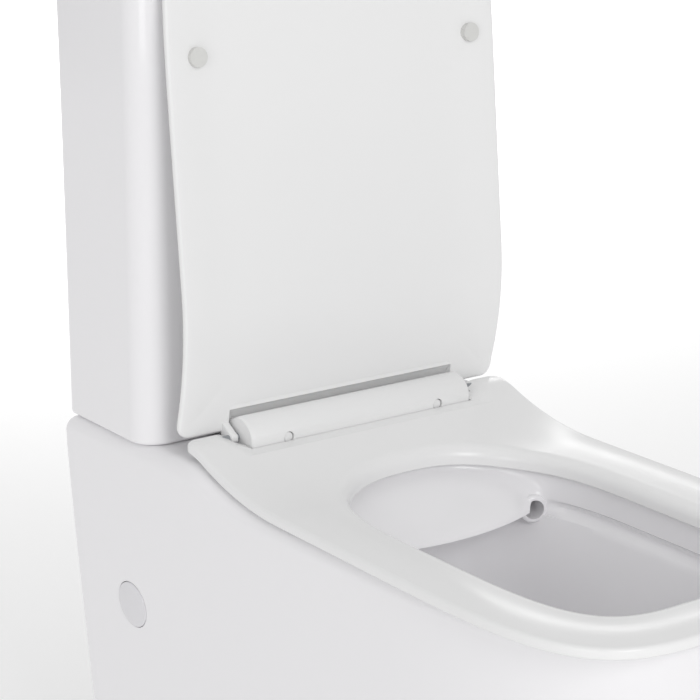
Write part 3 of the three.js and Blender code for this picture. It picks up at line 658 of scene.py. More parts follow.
@dataclass
class Pan:
    """The ceramic pan: outer skirt, rim, deck, bowl and the hollow inside."""

    datum: Datum
    half: float = 183.0
    rear: float = 195.0
    front: float = -445.0
    middle: float = -210.0
    front_power: float = 3.2
    taper: float = 0.21
    side_inset: float = 30.0
    front_inset: float = 90.0
    wall: float = 11.0
    rim: float = 400.0
    rim_thickness: float = 16.0
    rim_edge: float = 11.0
    deck_edge: float = 14.0
    corner: float = 5.0
    setback: float = 6.0
    lip_edge: float = 9.0
    shelf_drop: float = 29.0
    groove: float = 5.0
    depth: float = 215.0
    nose_reach: float = 134.0
    nose_drop: float = 36.0
    nose_curve: float = 0.0022
    nozzle_x: float = 93.0
    nozzle_y: float = -113.0
    nozzle_drop: float = 37.5
    nozzle_radius: float = 8.5
    trap_radius: float = 37.0
    trap_wall: float = 9.0
    trap_steps: int = 40
    outlet_height: float = 180.0
    outlet_setback: float = 10.0
    access_half: float = 95.0
    access_low: float = 60.0
    access_high: float = 300.0
    cap_radius: float = 20.5
    cap_y: float = 108.0
    cap_z: float = 267.0
    screw_y: float = 80.0
    screw_z: float = 45.0
    screw_hole: float = 9.0
    screw_cap: float = 8.4
    bolt_hole: float = 5.5
    fill_hole: float = 24.0
    flush_hole: float = 50.0
    bolt_x: float = 70.0
    cistern_middle: float = 128.35
    hinge_x: float = 78.0
    hinge_y: float = 22.4
    fill_x: float = -125.0
    rise: Rise = field(default_factory=lambda: Rise(18.0))
    stations: Stations = field(default_factory=Stations)

    def plan(self, z: float, inset: float) -> list[Plan]:
        """The outer outline at a height, from the front centre to the rear centre.

        Args:
            z: Height.
            inset: How far inside the outermost outline.

        Returns:
            The plan points.
        """
        fall = max(0.0, 1 - z / self.rim)
        half = self.half - self.side_inset * fall**1.15 - inset
        rear = self.rear - inset
        front = self.front + self.front_inset * fall**1.3 + inset
        corner = max(1.0, self.corner - inset * 0.5)
        walk = self.stations.walk(half, rear, self.middle, front, self.front_power, corner)
        return [(x * (1 - self.taper * (rear - y) / (rear - front)), y) for x, y in walk]

    def side_x(self, y: float, z: float) -> float:
        """How far out the side wall stands at a point.

        Args:
            y: Place along the toilet.
            z: Height.

        Returns:
            The value.
        """
        fall = max(0.0, 1 - z / self.rim)
        half = self.half - self.side_inset * fall**1.15
        front = self.front + self.front_inset * fall**1.3
        return half * (1 - self.taper * (self.rear - y) / (self.rear - front))

    def edge_radius(self, y: float) -> float:
        """The rounding between the skirt and the top, a little larger round the deck."""
        return blended(self.rim_edge, self.deck_edge, ease((y + 110) / 90))

    def skirt_rings(self, inset: float, top_drop: float, shares: Sequence[float]) -> list[list[Vector]]:
        """Rings up the skirt, each at a share of the height under the rim's rounding.

        Args:
            inset: How far inside the outermost outline.
            top_drop: How far under the top surface it ends.
            shares: Heights as shares of the whole.

        Returns:
            The rings, in order.
        """
        level = self.plan(self.rim, inset)
        rings = []
        for share in shares:
            right = []
            for index, (_, y) in enumerate(level):
                top = self.rim + self.rise.at(y) - top_drop
                radius = self.edge_radius(y) if top_drop == 0 else 0.0
                z = (top - radius) * share
                right.append((*self.plan_point(index, z, inset), z))
            rings.append(self.loop(right))
        return rings

    def plan_point(self, index: int, z: float, inset: float) -> Plan:
        """One point of the outer outline.

        Args:
            index: Number of the point.
            z: Height.
            inset: How far inside the outermost outline.

        Returns:
            The plan point.
        """
        key = (round(z, 2), round(inset, 3))
        store = self.__dict__.setdefault("_plans", {})
        if key not in store:
            store[key] = self.plan(*key)
        return store[key][index]

    def loop(self, right: Sequence[tuple[float, float, float]]) -> list[Vector]:
        """A whole ring from its right half."""
        whole = list(right) + [(-x, y, z) for x, y, z in reversed(right[1:-1])]
        return [self.datum.at(*point) for point in whole]

    def rim_rings(self) -> list[list[Vector]]:
        """The rounding over the rim's edge and the top, in towards the bowl.

        Returns:
            The rings, in order.
        """
        level = self.plan(self.rim, 0)
        rings = []
        for sine, cosine in quarter(8):
            right = []
            for index, (_, y) in enumerate(level):
                radius = self.edge_radius(y)
                inset = radius * (1 - cosine)
                x, y2 = self.plan_point(index, self.rim, inset)
                z = self.rim + self.rise.at(y2) - radius + radius * sine
                right.append((x, y2, z))
            rings.append(self.loop(right))
        inner = OPENING.grown(self.setback + self.lip_edge)
        for step in range(1, 29):
            share = step / 28
            right = []
            for index, (x0, y0) in enumerate(level):
                radius = self.edge_radius(y0)
                x1, y1 = self.plan_point(index, self.rim, radius)
                x2, y2 = inner.point(inner.angle_of(x0, y0)) if index else (0.0, inner.front)
                x, y = blended(x1, x2, share), blended(y1, y2, share)
                right.append((x, y, self.rim + self.rise.at(y)))
            rings.append(self.loop(right))
        return rings

    def bowl_rings(self) -> list[list[Vector]]:
        """The bowl from the rim's inner edge to the sump, with the water distributor's nose at the rear.

        Returns:
            The rings, in order.
        """
        level = self.plan(self.rim, 0)
        mouth = OPENING.grown(self.setback)
        rings = []
        angles = [mouth.angle_of(x, y) if i else -math.pi / 2 for i, (x, y) in enumerate(level)]
        for sine, cosine in quarter(6):
            egg = mouth.grown(self.lip_edge * (1 - sine))
            fall = self.lip_edge * (1 - cosine)
            right = [(*egg.point(a), self.rim + self.rise.at(egg.point(a)[1]) - fall) for a in angles]
            rings.append(self.loop(right))
        shelf = self.rim - self.shelf_drop
        edges = [
            (*mouth.point(a), self.rim + self.rise.at(mouth.point(a)[1]) - self.lip_edge) for a in angles
        ]
        lips = [self.nose_lip(x, y, shelf) for x, y, _ in edges]
        for step in range(1, 17):
            share = step / 16
            right = []
            for (x, y, z), (lx, ly, lz) in zip(edges, lips):
                right.append((blended(x, lx, share), blended(y, ly, ease(share)), blended(z, lz, share)))
            rings.append(self.loop(right))
        for drop, outward in ((1.5, 0.35), (2.5, 1.0), (6.5, 1.0), (9.0, 0.5), (11.0, -0.2), (14.0, -0.6)):
            right = []
            for angle, (lx, ly, lz) in zip(angles, lips):
                y = mouth.point(angle)[1]
                forward = ease((-112 - y) / 22)
                grown = mouth.grown(self.groove * outward * forward).point(angle)
                under = ease(min(1.0, drop / 9.0))
                right.append((
                    blended(lx, grown[0], 1.0 if ly == y else under), blended(ly, grown[1], under), lz - drop,
                ))
            rings.append(self.loop(right))
        rings.extend(self.loop(right) for right in self.lower_bowl(angles, lips, 0.0))
        return rings

    def nose_lip(self, x: float, y: float, shelf: float) -> tuple[float, float, float]:
        """Where the rim wall ends: at the shelf's level, and out on the nose's lip at the rear.

        Args:
            x: Across the pan.
            y: Along the pan, on the rim wall.
            shelf: Height of the shelf.

        Returns:
            The point where the wall ends.
        """
        lip = -self.nose_reach + self.nose_curve * x * x
        gap = 10.0
        reach = y - lip
        y_lip = y if reach < -gap else lip if reach > gap else y - (reach + gap) ** 2 / (4 * gap)
        out = ease((y - y_lip) / 30)
        return x, y_lip, shelf - (self.nose_drop - self.shelf_drop) * out

    def lower_bowl(
        self, angles: Sequence[float], lips: Sequence[tuple[float, float, float]], wall: float
    ) -> list[list[tuple[float, float, float]]]:
        """Rings of the bowl under the shelf, for the glazed side or for its outside.

        Args:
            angles: Angles of the points round the bowl.
            lips: Where the rim wall ends, for each angle.
            wall: Thickness of the china, or 0 for the glazed side.

        Returns:
            The right halves of the rings, in order.
        """
        shelf = self.rim - self.shelf_drop
        sump = self.rim - self.depth
        mouth = OPENING.grown(self.setback)
        levels = [
            (shelf - 14, 3.0, 3.0), (shelf - 50, 12.0, 12.0), (sump + 85, 32.0, 58.0),
            (sump + 45, 52.0, 114.0), (sump + 15, 68.0, 168.0), (sump + 3, 78.0, 196.0), (sump, 86.0, 214.0),
        ]
        rings = []
        pairs = list(zip(levels, levels[1:]))
        for number, (upper, lower) in enumerate(pairs):
            before = levels[max(0, number - 1)]
            after = levels[min(len(levels) - 1, number + 2)]
            for step in range(5):
                t = step / 5
                z, side, front = (curve(before[k], upper[k], lower[k], after[k], t) for k in range(3))
                rings.append((z, side, front))
        rings.append(levels[-1])
        result = []
        for number, (z, side, front) in enumerate(rings):
            rear = mouth.rear - side * 0.65
            fore = mouth.front + front
            square = blended(mouth.front_power, 2.6, ease((side - 8) / 26))
            middle = rear - (rear - fore) * 0.42
            egg = Egg(mouth.half - side + wall, rear + wall, fore - wall, middle, mouth.rear_power, square)
            depth = wall * (1 - (z - sump) / (shelf - sump))
            settle_in = ease(number / 6)
            right = []
            for angle, (_, _, lz) in zip(angles, lips):
                x, y = egg.point(angle)
                lowered = blended(lz - shelf, 0.0, settle_in) if wall == 0 else 0.0
                right.append((x, y, z - depth + lowered))
            result.append(right)
        return result

    def underside_rings(self) -> list[list[Vector]]:
        """The hidden side: the inside of the skirt, the roof of the hollow and the outside of the bowl.

        Returns:
            The rings, in order.
        """
        level = self.plan(self.rim, 0)
        mouth = OPENING.grown(self.setback)
        angles = [mouth.angle_of(x, y) if i else -math.pi / 2 for i, (x, y) in enumerate(level)]
        shelf = self.rim - self.shelf_drop
        flat = [(0.0, 0.0, shelf)] * len(level)
        bowl = self.lower_bowl(angles, flat, self.wall)
        rings = [self.loop(right) for right in reversed(bowl)]
        roof = []
        collar = mouth.grown(self.wall)
        for step in range(0, 9):
            share = step / 8
            right = []
            for index, angle in enumerate(angles):
                x1, y1 = collar.point(angle)
                x2, y2 = self.plan_point(index, self.rim, self.wall)
                x, y = blended(x1, x2, share), blended(y1, y2, share)
                right.append((x, y, self.rim + self.rise.at(y) - self.rim_thickness))
            roof.append(self.loop(right))
        rings.extend(roof)
        rings.extend(self.skirt_rings(self.wall, self.rim_thickness, (0.85, 0.6, 0.3, 0.0)))
        return rings

    def trap_path(self) -> list[Vector]:
        """The middle line of the trap, from the sump over the weir to the outlet.

        Returns:
            The points of the ring, in metres.
        """
        sump = self.rim - self.depth
        out = self.outlet_height
        return [self.datum.at(0, y, z) for y, z in (
            (-150, sump + 27), (-124, sump - 13), (-84, sump - 33), (-44, sump - 21), (-14, sump + 19),
            (22, sump + 45), (64, sump + 29), (104, out + 4), (134, out),
            (self.rear - self.outlet_setback, out),
        )]

    def trap(self, name: str, radius: float, beyond: float) -> bpy.types.Object:
        """A round pipe along the trap's middle line.

        Args:
            name: Name of the new object.
            radius: Radius.
            beyond: How much further the outlet end reaches.

        Returns:
            The mesh object.
        """
        path = self.trap_path()
        path[-1] = path[-1] + Vector((0, beyond * MM, 0))
        line = []
        for i in range(len(path) - 1):
            before, after = path[max(0, i - 1)], path[min(len(path) - 1, i + 2)]
            for step in range(5):
                line.append(Vector([
                    curve(before[k], path[i][k], path[i + 1][k], after[k], step / 5) for k in range(3)
                ]))
        line.append(path[-1])
        rings = []
        for i, point in enumerate(line):
            ahead = (line[min(len(line) - 1, i + 1)] - line[max(0, i - 1)]).normalized()
            across = Vector((1, 0, 0))
            up = across.cross(ahead)
            turns = [2 * math.pi * k / self.trap_steps for k in range(self.trap_steps)]
            rings.append([point + radius * MM * (math.cos(a) * across + math.sin(a) * up) for a in turns])
        return ring_body(name, rings, End.CAP, End.CAP)

    def outward(self, side: int, y: float, z: float) -> Vector:
        """The direction square out of the side wall.

        Args:
            side: -1 for the left, 1 for the right.
            y: Place along the toilet.
            z: Height.

        Returns:
            The point or direction.
        """
        step = 1.0
        slope_y = (self.side_x(y + step, z) - self.side_x(y - step, z)) / (2 * step)
        slope_z = (self.side_x(y, z + step) - self.side_x(y, z - step)) / (2 * step)
        return Vector((side, -slope_y, -slope_z)).normalized()

    def side_rod(
        self, side: int, y: float, z: float, inner: float, outer: float, radius: float
    ) -> bpy.types.Object:
        """A round bar square to the side wall.

        Args:
            side: -1 for the left wall, 1 for the right.
            y: Where it meets the wall, along the pan.
            z: Where it meets the wall, in height.
            inner: Depth of its inner end, counted outwards from the wall.
            outer: Depth of its outer end.
            radius: Its radius.

        Returns:
            The bar.
        """
        normal = self.outward(side, y, z)
        foot = self.datum.at(side * self.side_x(y, z), y, z)
        return rod("bar", foot + normal * inner * MM, foot + normal * outer * MM, radius, 48)

    def holes(self) -> bpy.types.Object:
        """All the separate holes of the pan as one helper solid.

        Returns:
            The mesh object.
        """
        at = self.datum.at
        deck = self.rim + self.rise.at(60)
        bars = []
        for side in (-1, 1):
            for x, y in ((side * self.bolt_x, self.cistern_middle), (side * self.hinge_x, self.hinge_y)):
                bars.append(rod("bar", at(x, y, deck - 50), at(x, y, deck + 20), self.bolt_hole))
            bars.append(self.side_rod(side, self.cap_y, self.cap_z, -30, 10, self.cap_radius + 0.6))
            bars.append(self.side_rod(side, self.screw_y, self.screw_z, -30, 10, self.screw_hole))
            bars.append(rod("bar", *self.nozzle_line(side, -30, 30), self.nozzle_radius, 40))
        fill, flush, y = self.fill_x, 0, self.cistern_middle
        bars.append(rod("bar", at(fill, y, deck - 50), at(fill, y, deck + 20), self.fill_hole))
        bars.append(rod("bar", at(flush, y, deck - 22), at(flush, y, deck + 20), self.flush_hole, 64))
        return together(bars)

    def nozzle_line(self, side: int, start: float, finish: float) -> tuple[Vector, Vector]:
        """Two points on a nozzle's axis, counted forwards from its mouth.

        Args:
            side: -1 for the left, 1 for the right.
            start: One end.
            finish: The other end.

        Returns:
            The two points.
        """
        mouth = self.datum.at(side * self.nozzle_x, self.nozzle_y, self.rim - self.nozzle_drop)
        ahead = Vector((-side * 0.32, -0.94, -0.05)).normalized()
        return mouth + ahead * start * MM, mouth + ahead * finish * MM

    def build(self) -> None:
        """Makes the pan and puts it on the toilet's body."""
        rings = self.underside_rings()
        rings.extend(self.skirt_rings(0, 0, (0.0, 0.006, 0.2, 0.4, 0.55, 0.7, 0.8, 0.9, 0.96, 1.0)))
        rings.extend(self.rim_rings())
        rings.extend(self.bowl_rings())
        pan = ring_body("pan_china", rings, End.CAP, End.CAP)
        combine(pan, self.trap("trap_wall", self.trap_radius + self.trap_wall, 0), Cut.ONTO)
        for side in (-1, 1):
            boss = rod("boss", *self.nozzle_line(side, -34, 0), self.nozzle_radius + 4.0, 40)
            soften(boss, 3.0, 4)
            combine(pan, boss, Cut.ONTO)
        combine(pan, self.trap("trap_way", self.trap_radius, 20), Cut.AWAY)
        combine(pan, self.holes(), Cut.AWAY)
        at = self.datum.at
        access = block(
            "access", at(-self.access_half, self.rear - 40, self.access_low),
            at(self.access_half, self.rear + 5, self.access_high),
        )
        keep = self.trap("keep", self.trap_radius + self.trap_wall + 0.2, 20)
        combine(access, keep, Cut.AWAY)
        combine(pan, access, Cut.AWAY)
        smooth(pan, 38)
        install(pan, CHINA, "glazed_vitreous_china", "toilet_body", "pan")

    def build_caps(self) -> None:
        """The push-in covers over the fixing access holes and the side screws."""
        for side, name in ((-1, "left"), (1, "right")):
            cap = self.side_rod(side, self.cap_y, self.cap_z, -9, 0.9, self.cap_radius)
            soften(cap, 0.9, 3)
            smooth(cap)
            cap.name = f"access_cover_{name}"
            install(cap, CAP_ABS, "white_plastic", "toilet_body", f"access_cap_{name}")
            small = self.side_rod(side, self.screw_y, self.screw_z, -1.2, 0.8, self.screw_cap)
            soften(small, 0.7, 3)
            smooth(small)
            small.name = f"screw_cover_{name}"
            install(small, CAP_ABS, "white_plastic", "toilet_body", f"fixing_cap_{name}")


def curve(before: float, first: float, second: float, after: float, t: float) -> float:
    """A smooth value between two of a list, from the two on each side of them.

    Args:
        before: The value before them.
        first: The value at 0.
        second: The value at 1.
        after: The value after them.
        t: How far between the middle two, from 0 to 1.

    Returns:
        The value.
    """
    return 0.5 * (
        2 * first + (second - before) * t + (2 * before - 5 * first + 4 * second - after) * t * t
        + (3 * first - before - 3 * second + after) * t**3
    )


# ---------- cistern ----------


@dataclass
class Cistern:
    """The tank and its lid, both of glazed china."""

    datum: Datum
    half: float = 178.0
    front: float = 64.7
    depth: float = 127.3
    bottom: float = 420.3
    height: float = 370.0
    wall: float = 9.0
    floor: float = 12.0
    corner: float = 25.0
    lean: float = 7.0
    lid_height: float = 32.0
    overhang: float = 2.0
    lid_wall: float = 9.0
    housing: float = 30.0
    foot_edge: float = 4.0
    floor_holes: tuple[Plan, ...] = ((0, 28.8), (-125, 11.0), (-70, 5.5), (70, 5.5))

    @property
    def rear(self) -> float:
        """The back of the tank."""
        return self.front + self.depth

    @property
    def top(self) -> float:
        """The rim of the tank."""
        return self.bottom + self.height

    def outline(self, grow: float, corner: float, z: float) -> list[Vector]:
        """A level ring of the tank's shape, wider by an amount, at a height.

        Args:
            grow: How much wider than the tank.
            corner: Radius of the front corners.
            z: Height.

        Returns:
            The points of the ring, in metres.
        """
        steps = 12
        back = 5.0
        points: list[Plan] = []
        half, front, rear = self.half + grow, self.front - grow, self.rear + min(0.0, grow)
        for centre_x, centre_y, radius, start in (
            (half - corner, front + corner, corner, -90), (half - back, rear - back, back, 0),
            (-half + back, rear - back, back, 90), (-half + corner, front + corner, corner, 180),
        ):
            for i in range(steps + 1):
                angle = math.radians(start + 90 * i / steps)
                points.append((centre_x + radius * math.cos(angle), centre_y + radius * math.sin(angle)))
        rise = (z - self.bottom) / self.height
        return [
            self.datum.at(x, y - self.lean * rise * (self.rear - y) / self.depth, z) for x, y in points
        ]

    def build(self) -> None:
        """Makes the tank and the lid."""
        edge = self.foot_edge
        rings = [self.outline(-edge, self.corner - edge, self.bottom)]
        for sine, cosine in quarter(5):
            rings.append(self.outline(
                -edge * (1 - sine), self.corner - edge * (1 - sine),
                self.bottom + edge * (1 - cosine),
            ))
        for share in (0.25, 0.5, 0.75, 0.99, 1.0):
            grow = 0.0 if share < 1 else -0.8
            rings.append(self.outline(grow, self.corner + grow, self.bottom + self.height * share))
        inner = -self.wall
        rings.append(self.outline(inner + 1.5, self.corner + inner + 1.5, self.top))
        rings.append(self.outline(inner, self.corner + inner, self.top - 2))
        rings.append(self.outline(inner, self.corner + inner, self.bottom + self.floor + 14))
        for sine, cosine in quarter(4):
            draw = inner - 12 * (1 - cosine)
            level = self.bottom + self.floor + 14 - 14 * sine
            rings.append(self.outline(draw, self.corner + draw, level))
        tank = ring_body("tank_china", rings, End.CAP, End.CAP)
        at = self.datum.at
        middle = self.front + self.depth / 2
        under, over = self.bottom - 5, self.bottom + self.floor + 5
        bars = [
            rod("bar", at(x, middle, under), at(x, middle, over), radius) for x, radius in self.floor_holes
        ]
        combine(tank, together(bars), Cut.AWAY)
        smooth(tank)
        install(tank, CHINA, "glazed_vitreous_china", "toilet_body", "cistern_tank")
        self.build_lid()

    def build_lid(self) -> None:
        """Makes the lid, with a rounded top edge, a lip that drops inside the tank, and the button's hole."""
        low = self.top + 0.3
        high = low + self.lid_height
        over = self.overhang
        edge = 6.0
        rings = [self.outline(-self.wall - 8, self.corner - self.wall - 8, high - self.lid_wall)]
        rings.append(self.outline(-self.wall - 8, self.corner - self.wall - 8, low - 12))
        rings.append(self.outline(-self.wall - 3, self.corner - self.wall - 3, low - 12))
        rings.append(self.outline(-self.wall - 3, self.corner - self.wall - 3, low))
        rings.append(self.outline(over - 1, self.corner + over - 1, low))
        rings.append(self.outline(over, self.corner + over, low + 1))
        for sine, cosine in quarter(8, 0):
            draw = over - edge * (1 - cosine)
            rings.append(self.outline(draw, self.corner + draw, high - edge + edge * sine))
        lid = ring_body("cistern_lid_china", rings, End.CAP, End.CAP)
        at = self.datum.at
        middle = self.front + self.depth / 2
        hole = rod("bar", at(0, middle, low - 20), at(0, middle, high + 10), self.housing + 0.8, 64)
        combine(lid, hole, Cut.AWAY)
        smooth(lid)
        install(lid, CHINA, "glazed_vitreous_china", "cistern_cover", "cistern_lid")


# ---------- seat, lid and hinge ----------


@dataclass
class Seat:
    """The seat ring and its lid, pressed in one family of shapes."""

    datum: Datum
    half: float = 164.3
    front: float = -458.0
    rear: float = 27.5
    middle: float = -200.0
    front_power: float = 4.7
    corner: float = 11.0
    bottom: float = 402.2
    thickness: float = 8.8
    edge_low: float = 2.2
    edge_high: float = 3.0
    crown: float = 1.6
    roll: float = 10.0
    inner_drop: float = 16.7
    ring_depth: float = 9.8
    lid_gap: float = 4.0
    lid_thickness: float = 6.5
    lid_rear: float = 18.0
    lid_dish: float = 3.2
    notch: float = 116.5
    cover_slot: float = 115.5
    arm_slot: float = 124.5
    cut_low: float = 380.0
    cut_high: float = 470.0
    hinge_y: float = 22.4
    hinge_z: float = 431.0
    barrel_y: float = 22.4
    barrel_z: float = 17.5
    open_angle: float = 95.4
    rise: Rise = field(default_factory=lambda: Rise(20.4, rest=22.0))
    stations: Stations = field(default_factory=Stations)

    def plan(self, inset: float, rear: float) -> list[Plan]:
        """One side of the outline, from the front centre to the rear centre.

        Args:
            inset: How far inside the outermost outline.
            rear: Rear end.

        Returns:
            The plan points.
        """
        corner = max(0.5, self.corner - inset)
        return self.stations.walk(
            self.half - inset, rear - inset, self.middle, self.front + inset, self.front_power, corner
        )

    def ring(self, right: Sequence[tuple[float, float, float]]) -> list[Vector]:
        """A whole ring that follows the seat's rise, from its right half.

        Args:
            right: Points of the right half, from the front centre to the rear centre.

        Returns:
            The points of the ring, in metres.
        """
        lifted = [(x, y, z + self.rise.at(y)) for x, y, z in right]
        whole = lifted + [(-x, y, z) for x, y, z in reversed(lifted[1:-1])]
        return [self.datum.at(*point) for point in whole]

    def build_ring(self) -> None:
        """Makes the seat ring with its rolled inner edge and the recess for the hinge cover."""
        top = self.bottom + self.thickness
        outer = self.plan(0, self.rear)
        angles = [OPENING.angle_of(x, y) if i else -math.pi / 2 for i, (x, y) in enumerate(outer)]
        inner = [OPENING.grown(self.roll).point(a) for a in angles]
        rings = []

        def outer_ring(inset: float, z: float) -> None:
            """Adds a level ring of the outer outline."""
            rings.append(self.ring([(x, y, z) for x, y in self.plan(inset, self.rear)]))

        def inner_ring(grow: float, z: float) -> None:
            """Adds a level ring round the opening."""
            egg = OPENING.grown(grow)
            rings.append(self.ring([(*egg.point(a), z) for a in angles]))

        for sine, cosine in quarter(4, 0):
            inset = self.edge_low * (1 - sine)
            outer_ring(inset, self.bottom + self.edge_low * (1 - cosine))
        for sine, cosine in quarter(6, 0):
            outer_ring(self.edge_high * (1 - cosine), top - self.edge_high * (1 - sine))
        edge = self.plan(self.edge_high, self.rear)
        for step in range(1, 19):
            share = step / 18
            bulge = self.crown * math.sin(math.pi * share) - 0.8 * ease(share)
            rings.append(self.ring([
                (blended(x1, x2, share), blended(y1, y2, share), top + bulge)
                for (x1, y1), (x2, y2) in zip(edge, inner)
            ]))
        for sine, cosine in quarter(8):
            inner_ring(self.roll * (1 - sine), top - 0.8 - self.roll * (1 - cosine))
        low = top - self.inner_drop
        inner_ring(0.0, low + 1.2)
        inner_ring(1.2, low)
        inner_ring(3.4, low)
        inner_ring(4.2, low + 1.5)
        inner_ring(4.4, self.bottom - 0.5)
        inner_ring(6.0, self.bottom)
        inner_ring(self.roll + 10, self.bottom)
        rings.append(rings[0])
        seat = ring_body("seat_ring_resin", rings, End.JOINED, End.JOINED)
        combine(seat, self.recess(), Cut.AWAY)
        at = self.datum.at
        for half, front in ((self.cover_slot, -0.4), (self.arm_slot, 12.0)):
            slot = block("slot", at(-half, front, self.cut_low), at(half, 60, self.cut_high))
            combine(seat, slot, Cut.AWAY)
        smooth(seat, 30)
        install(seat, DUROPLAST, "seat_duroplast", "seat", "seat_ring")

    def recess(self) -> bpy.types.Object:
        """The wedge-shaped recess between the seat's ears, with slanted ends.

        Returns:
            The mesh object.
        """
        top = self.bottom + self.thickness
        at = self.datum.at
        floor = ((-15.5, 123.0, 14.8), (0.0, 114.5, 15.8), (60.0, 114.5, 17.0))
        roof = ((-15.5, 163.0, 29.0), (0.0, 152.0, 29.0), (60.0, 138.0, 29.0))
        rings = []
        for level in (floor, roof):
            right = [at(x, y, top + z) for y, x, z in level]
            left = [at(-x, y, top + z) for y, x, z in reversed(level)]
            rings.append(right + left)
        return ring_body("recess", rings, End.CAP, End.CAP)

    def build_lid(self) -> None:
        """Makes the lid shut, then swings it open about the hinge."""
        low = self.bottom + self.ring_depth + self.lid_gap
        high = low + self.lid_thickness
        rings = []
        rear = self.lid_rear

        def level(inset: float, z: float, share: float = 0.0) -> None:
            """Adds a ring of the lid, drawn in towards its middle line by a share."""
            edge = self.plan(inset, rear)
            spine = [(x * 0.15, min(-90.0, max(self.front + 130, y))) for x, y in edge]
            rings.append(self.ring([
                (blended(x, sx, share), blended(y, sy, share), z) for (x, y), (sx, sy) in zip(edge, spine)
            ]))

        for step in range(12, -1, -1):
            share = step / 12
            inset = 6.0 + 44.0 * min(1.0, share * 3)
            depth = self.lid_dish * ease((inset - 5.0) / 42.0)
            level(inset, low + depth, max(0.0, (share - 1 / 3) * 1.5) * 0.98)
        level(5.0, low)
        level(2.4, low)
        for sine, cosine in quarter(4, 0):
            level(2.4 * (1 - sine), low + 2.4 * (1 - cosine))
        for sine, cosine in quarter(5, 0):
            level(3.2 * (1 - cosine), high - 3.2 * (1 - sine))
        for step in range(1, 13):
            share = step / 12
            drawn = max(0.0, (share - 1 / 3) * 1.5) * 0.98
            level(3.2 + 20.0 * min(1.0, share * 3), high + 1.2 * ease(share), drawn)
        lid = ring_body("seat_lid_resin", rings, End.CAP, End.CAP)
        at = self.datum.at
        notch = block("notch", at(-self.notch, -3.5, self.cut_low), at(self.notch, 60, self.cut_high))
        self.round_upright(notch, 6.0)
        combine(lid, notch, Cut.AWAY)
        combine(lid, self.curl(), Cut.ONTO)
        for side in (-1, 1):
            combine(lid, self.lug(side), Cut.ONTO)
        smooth(lid, 34)
        self.swing(lid, at(0, self.hinge_y, self.hinge_z))
        install(lid, DUROPLAST, "seat_duroplast", "lid", "seat_lid")

    def curl(self) -> bpy.types.Object:
        """The lip along the lid's notch that bends up over the front of the hinge cover.

        Returns:
            The mesh object.
        """
        at = self.datum.at
        gap, wall, steps = 1.0, 1.6, 10
        inner, outer = [], []
        for step in range(steps + 1):
            angle = math.radians(blended(163.0, 104.0, step / steps))
            across, up = self.barrel_y + gap, self.barrel_z + gap
            inner.append((self.hinge_y + across * math.cos(angle), self.hinge_z + up * math.sin(angle)))
            thick = blended(wall + 1.4, wall, min(1.0, step / 3))
            outer.append((
                self.hinge_y + (across + thick) * math.cos(angle),
                self.hinge_z + (up + thick) * math.sin(angle),
            ))
        low = self.bottom + self.ring_depth + self.lid_gap + self.rise.at(-6.0)
        root, crest = (-7.0, low + self.lid_dish + 0.2), (-7.0, low + self.lid_thickness + 0.8)
        section = [root] + inner + outer[::-1] + [crest]
        half = self.notch - 0.2
        rings = [[at(x, y, z) for y, z in section] for x in (-half, half)]
        return ring_body("curl", rings, End.CAP, End.CAP)

    def swing(self, piece: bpy.types.Object, axis: Vector) -> None:
        """Turns a piece from shut to open about the hinge's axis.

        Args:
            piece: The mesh object.
            axis: A point on the hinge line.
        """
        pick(piece)
        turn = -math.radians(self.open_angle)
        before = piece.data.vertices[0].co.copy()
        bpy.ops.transform.rotate(value=-turn, orient_axis="X", center_override=tuple(axis))
        settle(piece)
        turned_z = piece.data.vertices[0].co.z
        expected = axis.z + (before.y - axis.y) * math.sin(turn) + (before.z - axis.z) * math.cos(turn)
        if abs(turned_z - expected) > 1e-4:
            raise ValueError("the lid opened the wrong way")

    def round_upright(self, cube: bpy.types.Object, radius_mm: float) -> None:
        """Rounds a block's upright edges.

        Args:
            cube: The block.
            radius_mm: Radius in millimetres.
        """
        pick(cube)
        bpy.ops.object.mode_set(mode="EDIT")
        bpy.ops.mesh.select_all(action="DESELECT")
        bpy.ops.object.mode_set(mode="OBJECT")
        for edge in cube.data.edges:
            a, b = (cube.data.vertices[i].co for i in edge.vertices)
            edge.select = abs(a.x - b.x) < 1e-6 and abs(a.y - b.y) < 1e-6
        bpy.ops.object.mode_set(mode="EDIT")
        bpy.ops.mesh.select_mode(type="EDGE")
        bpy.ops.mesh.bevel(offset=radius_mm * MM, segments=8, affect="EDGES")
        bpy.ops.object.mode_set(mode="OBJECT")

    def lug(self, side: int) -> bpy.types.Object:
        """One of the two arms that hang the lid on the hinge pins.

        Args:
            side: -1 for the left, 1 for the right.

        Returns:
            The mesh object.
        """
        at = self.datum.at
        inner, outer = side * self.notch, side * (self.notch + 6.5)
        low = self.bottom + self.ring_depth + self.lid_gap + self.rise.at(self.lid_rear)
        section = [
            (self.lid_rear - 9, low + 1.0),
            (self.hinge_y - 5, self.hinge_z - 1), (self.hinge_y - 2.5, self.hinge_z - 5),
            (self.hinge_y + 2.5, self.hinge_z - 5), (self.hinge_y + 5, self.hinge_z - 1),
            (self.hinge_y + 5, self.hinge_z + 3), (self.lid_rear, low + 5), (self.lid_rear - 6, low + 5.5),
        ]
        rings = [[at(x, y, z) for y, z in section] for x in (inner, outer)]
        arm = ring_body("lug", rings, End.CAP, End.CAP)
        soften(arm, 1.0, 2)
        return arm


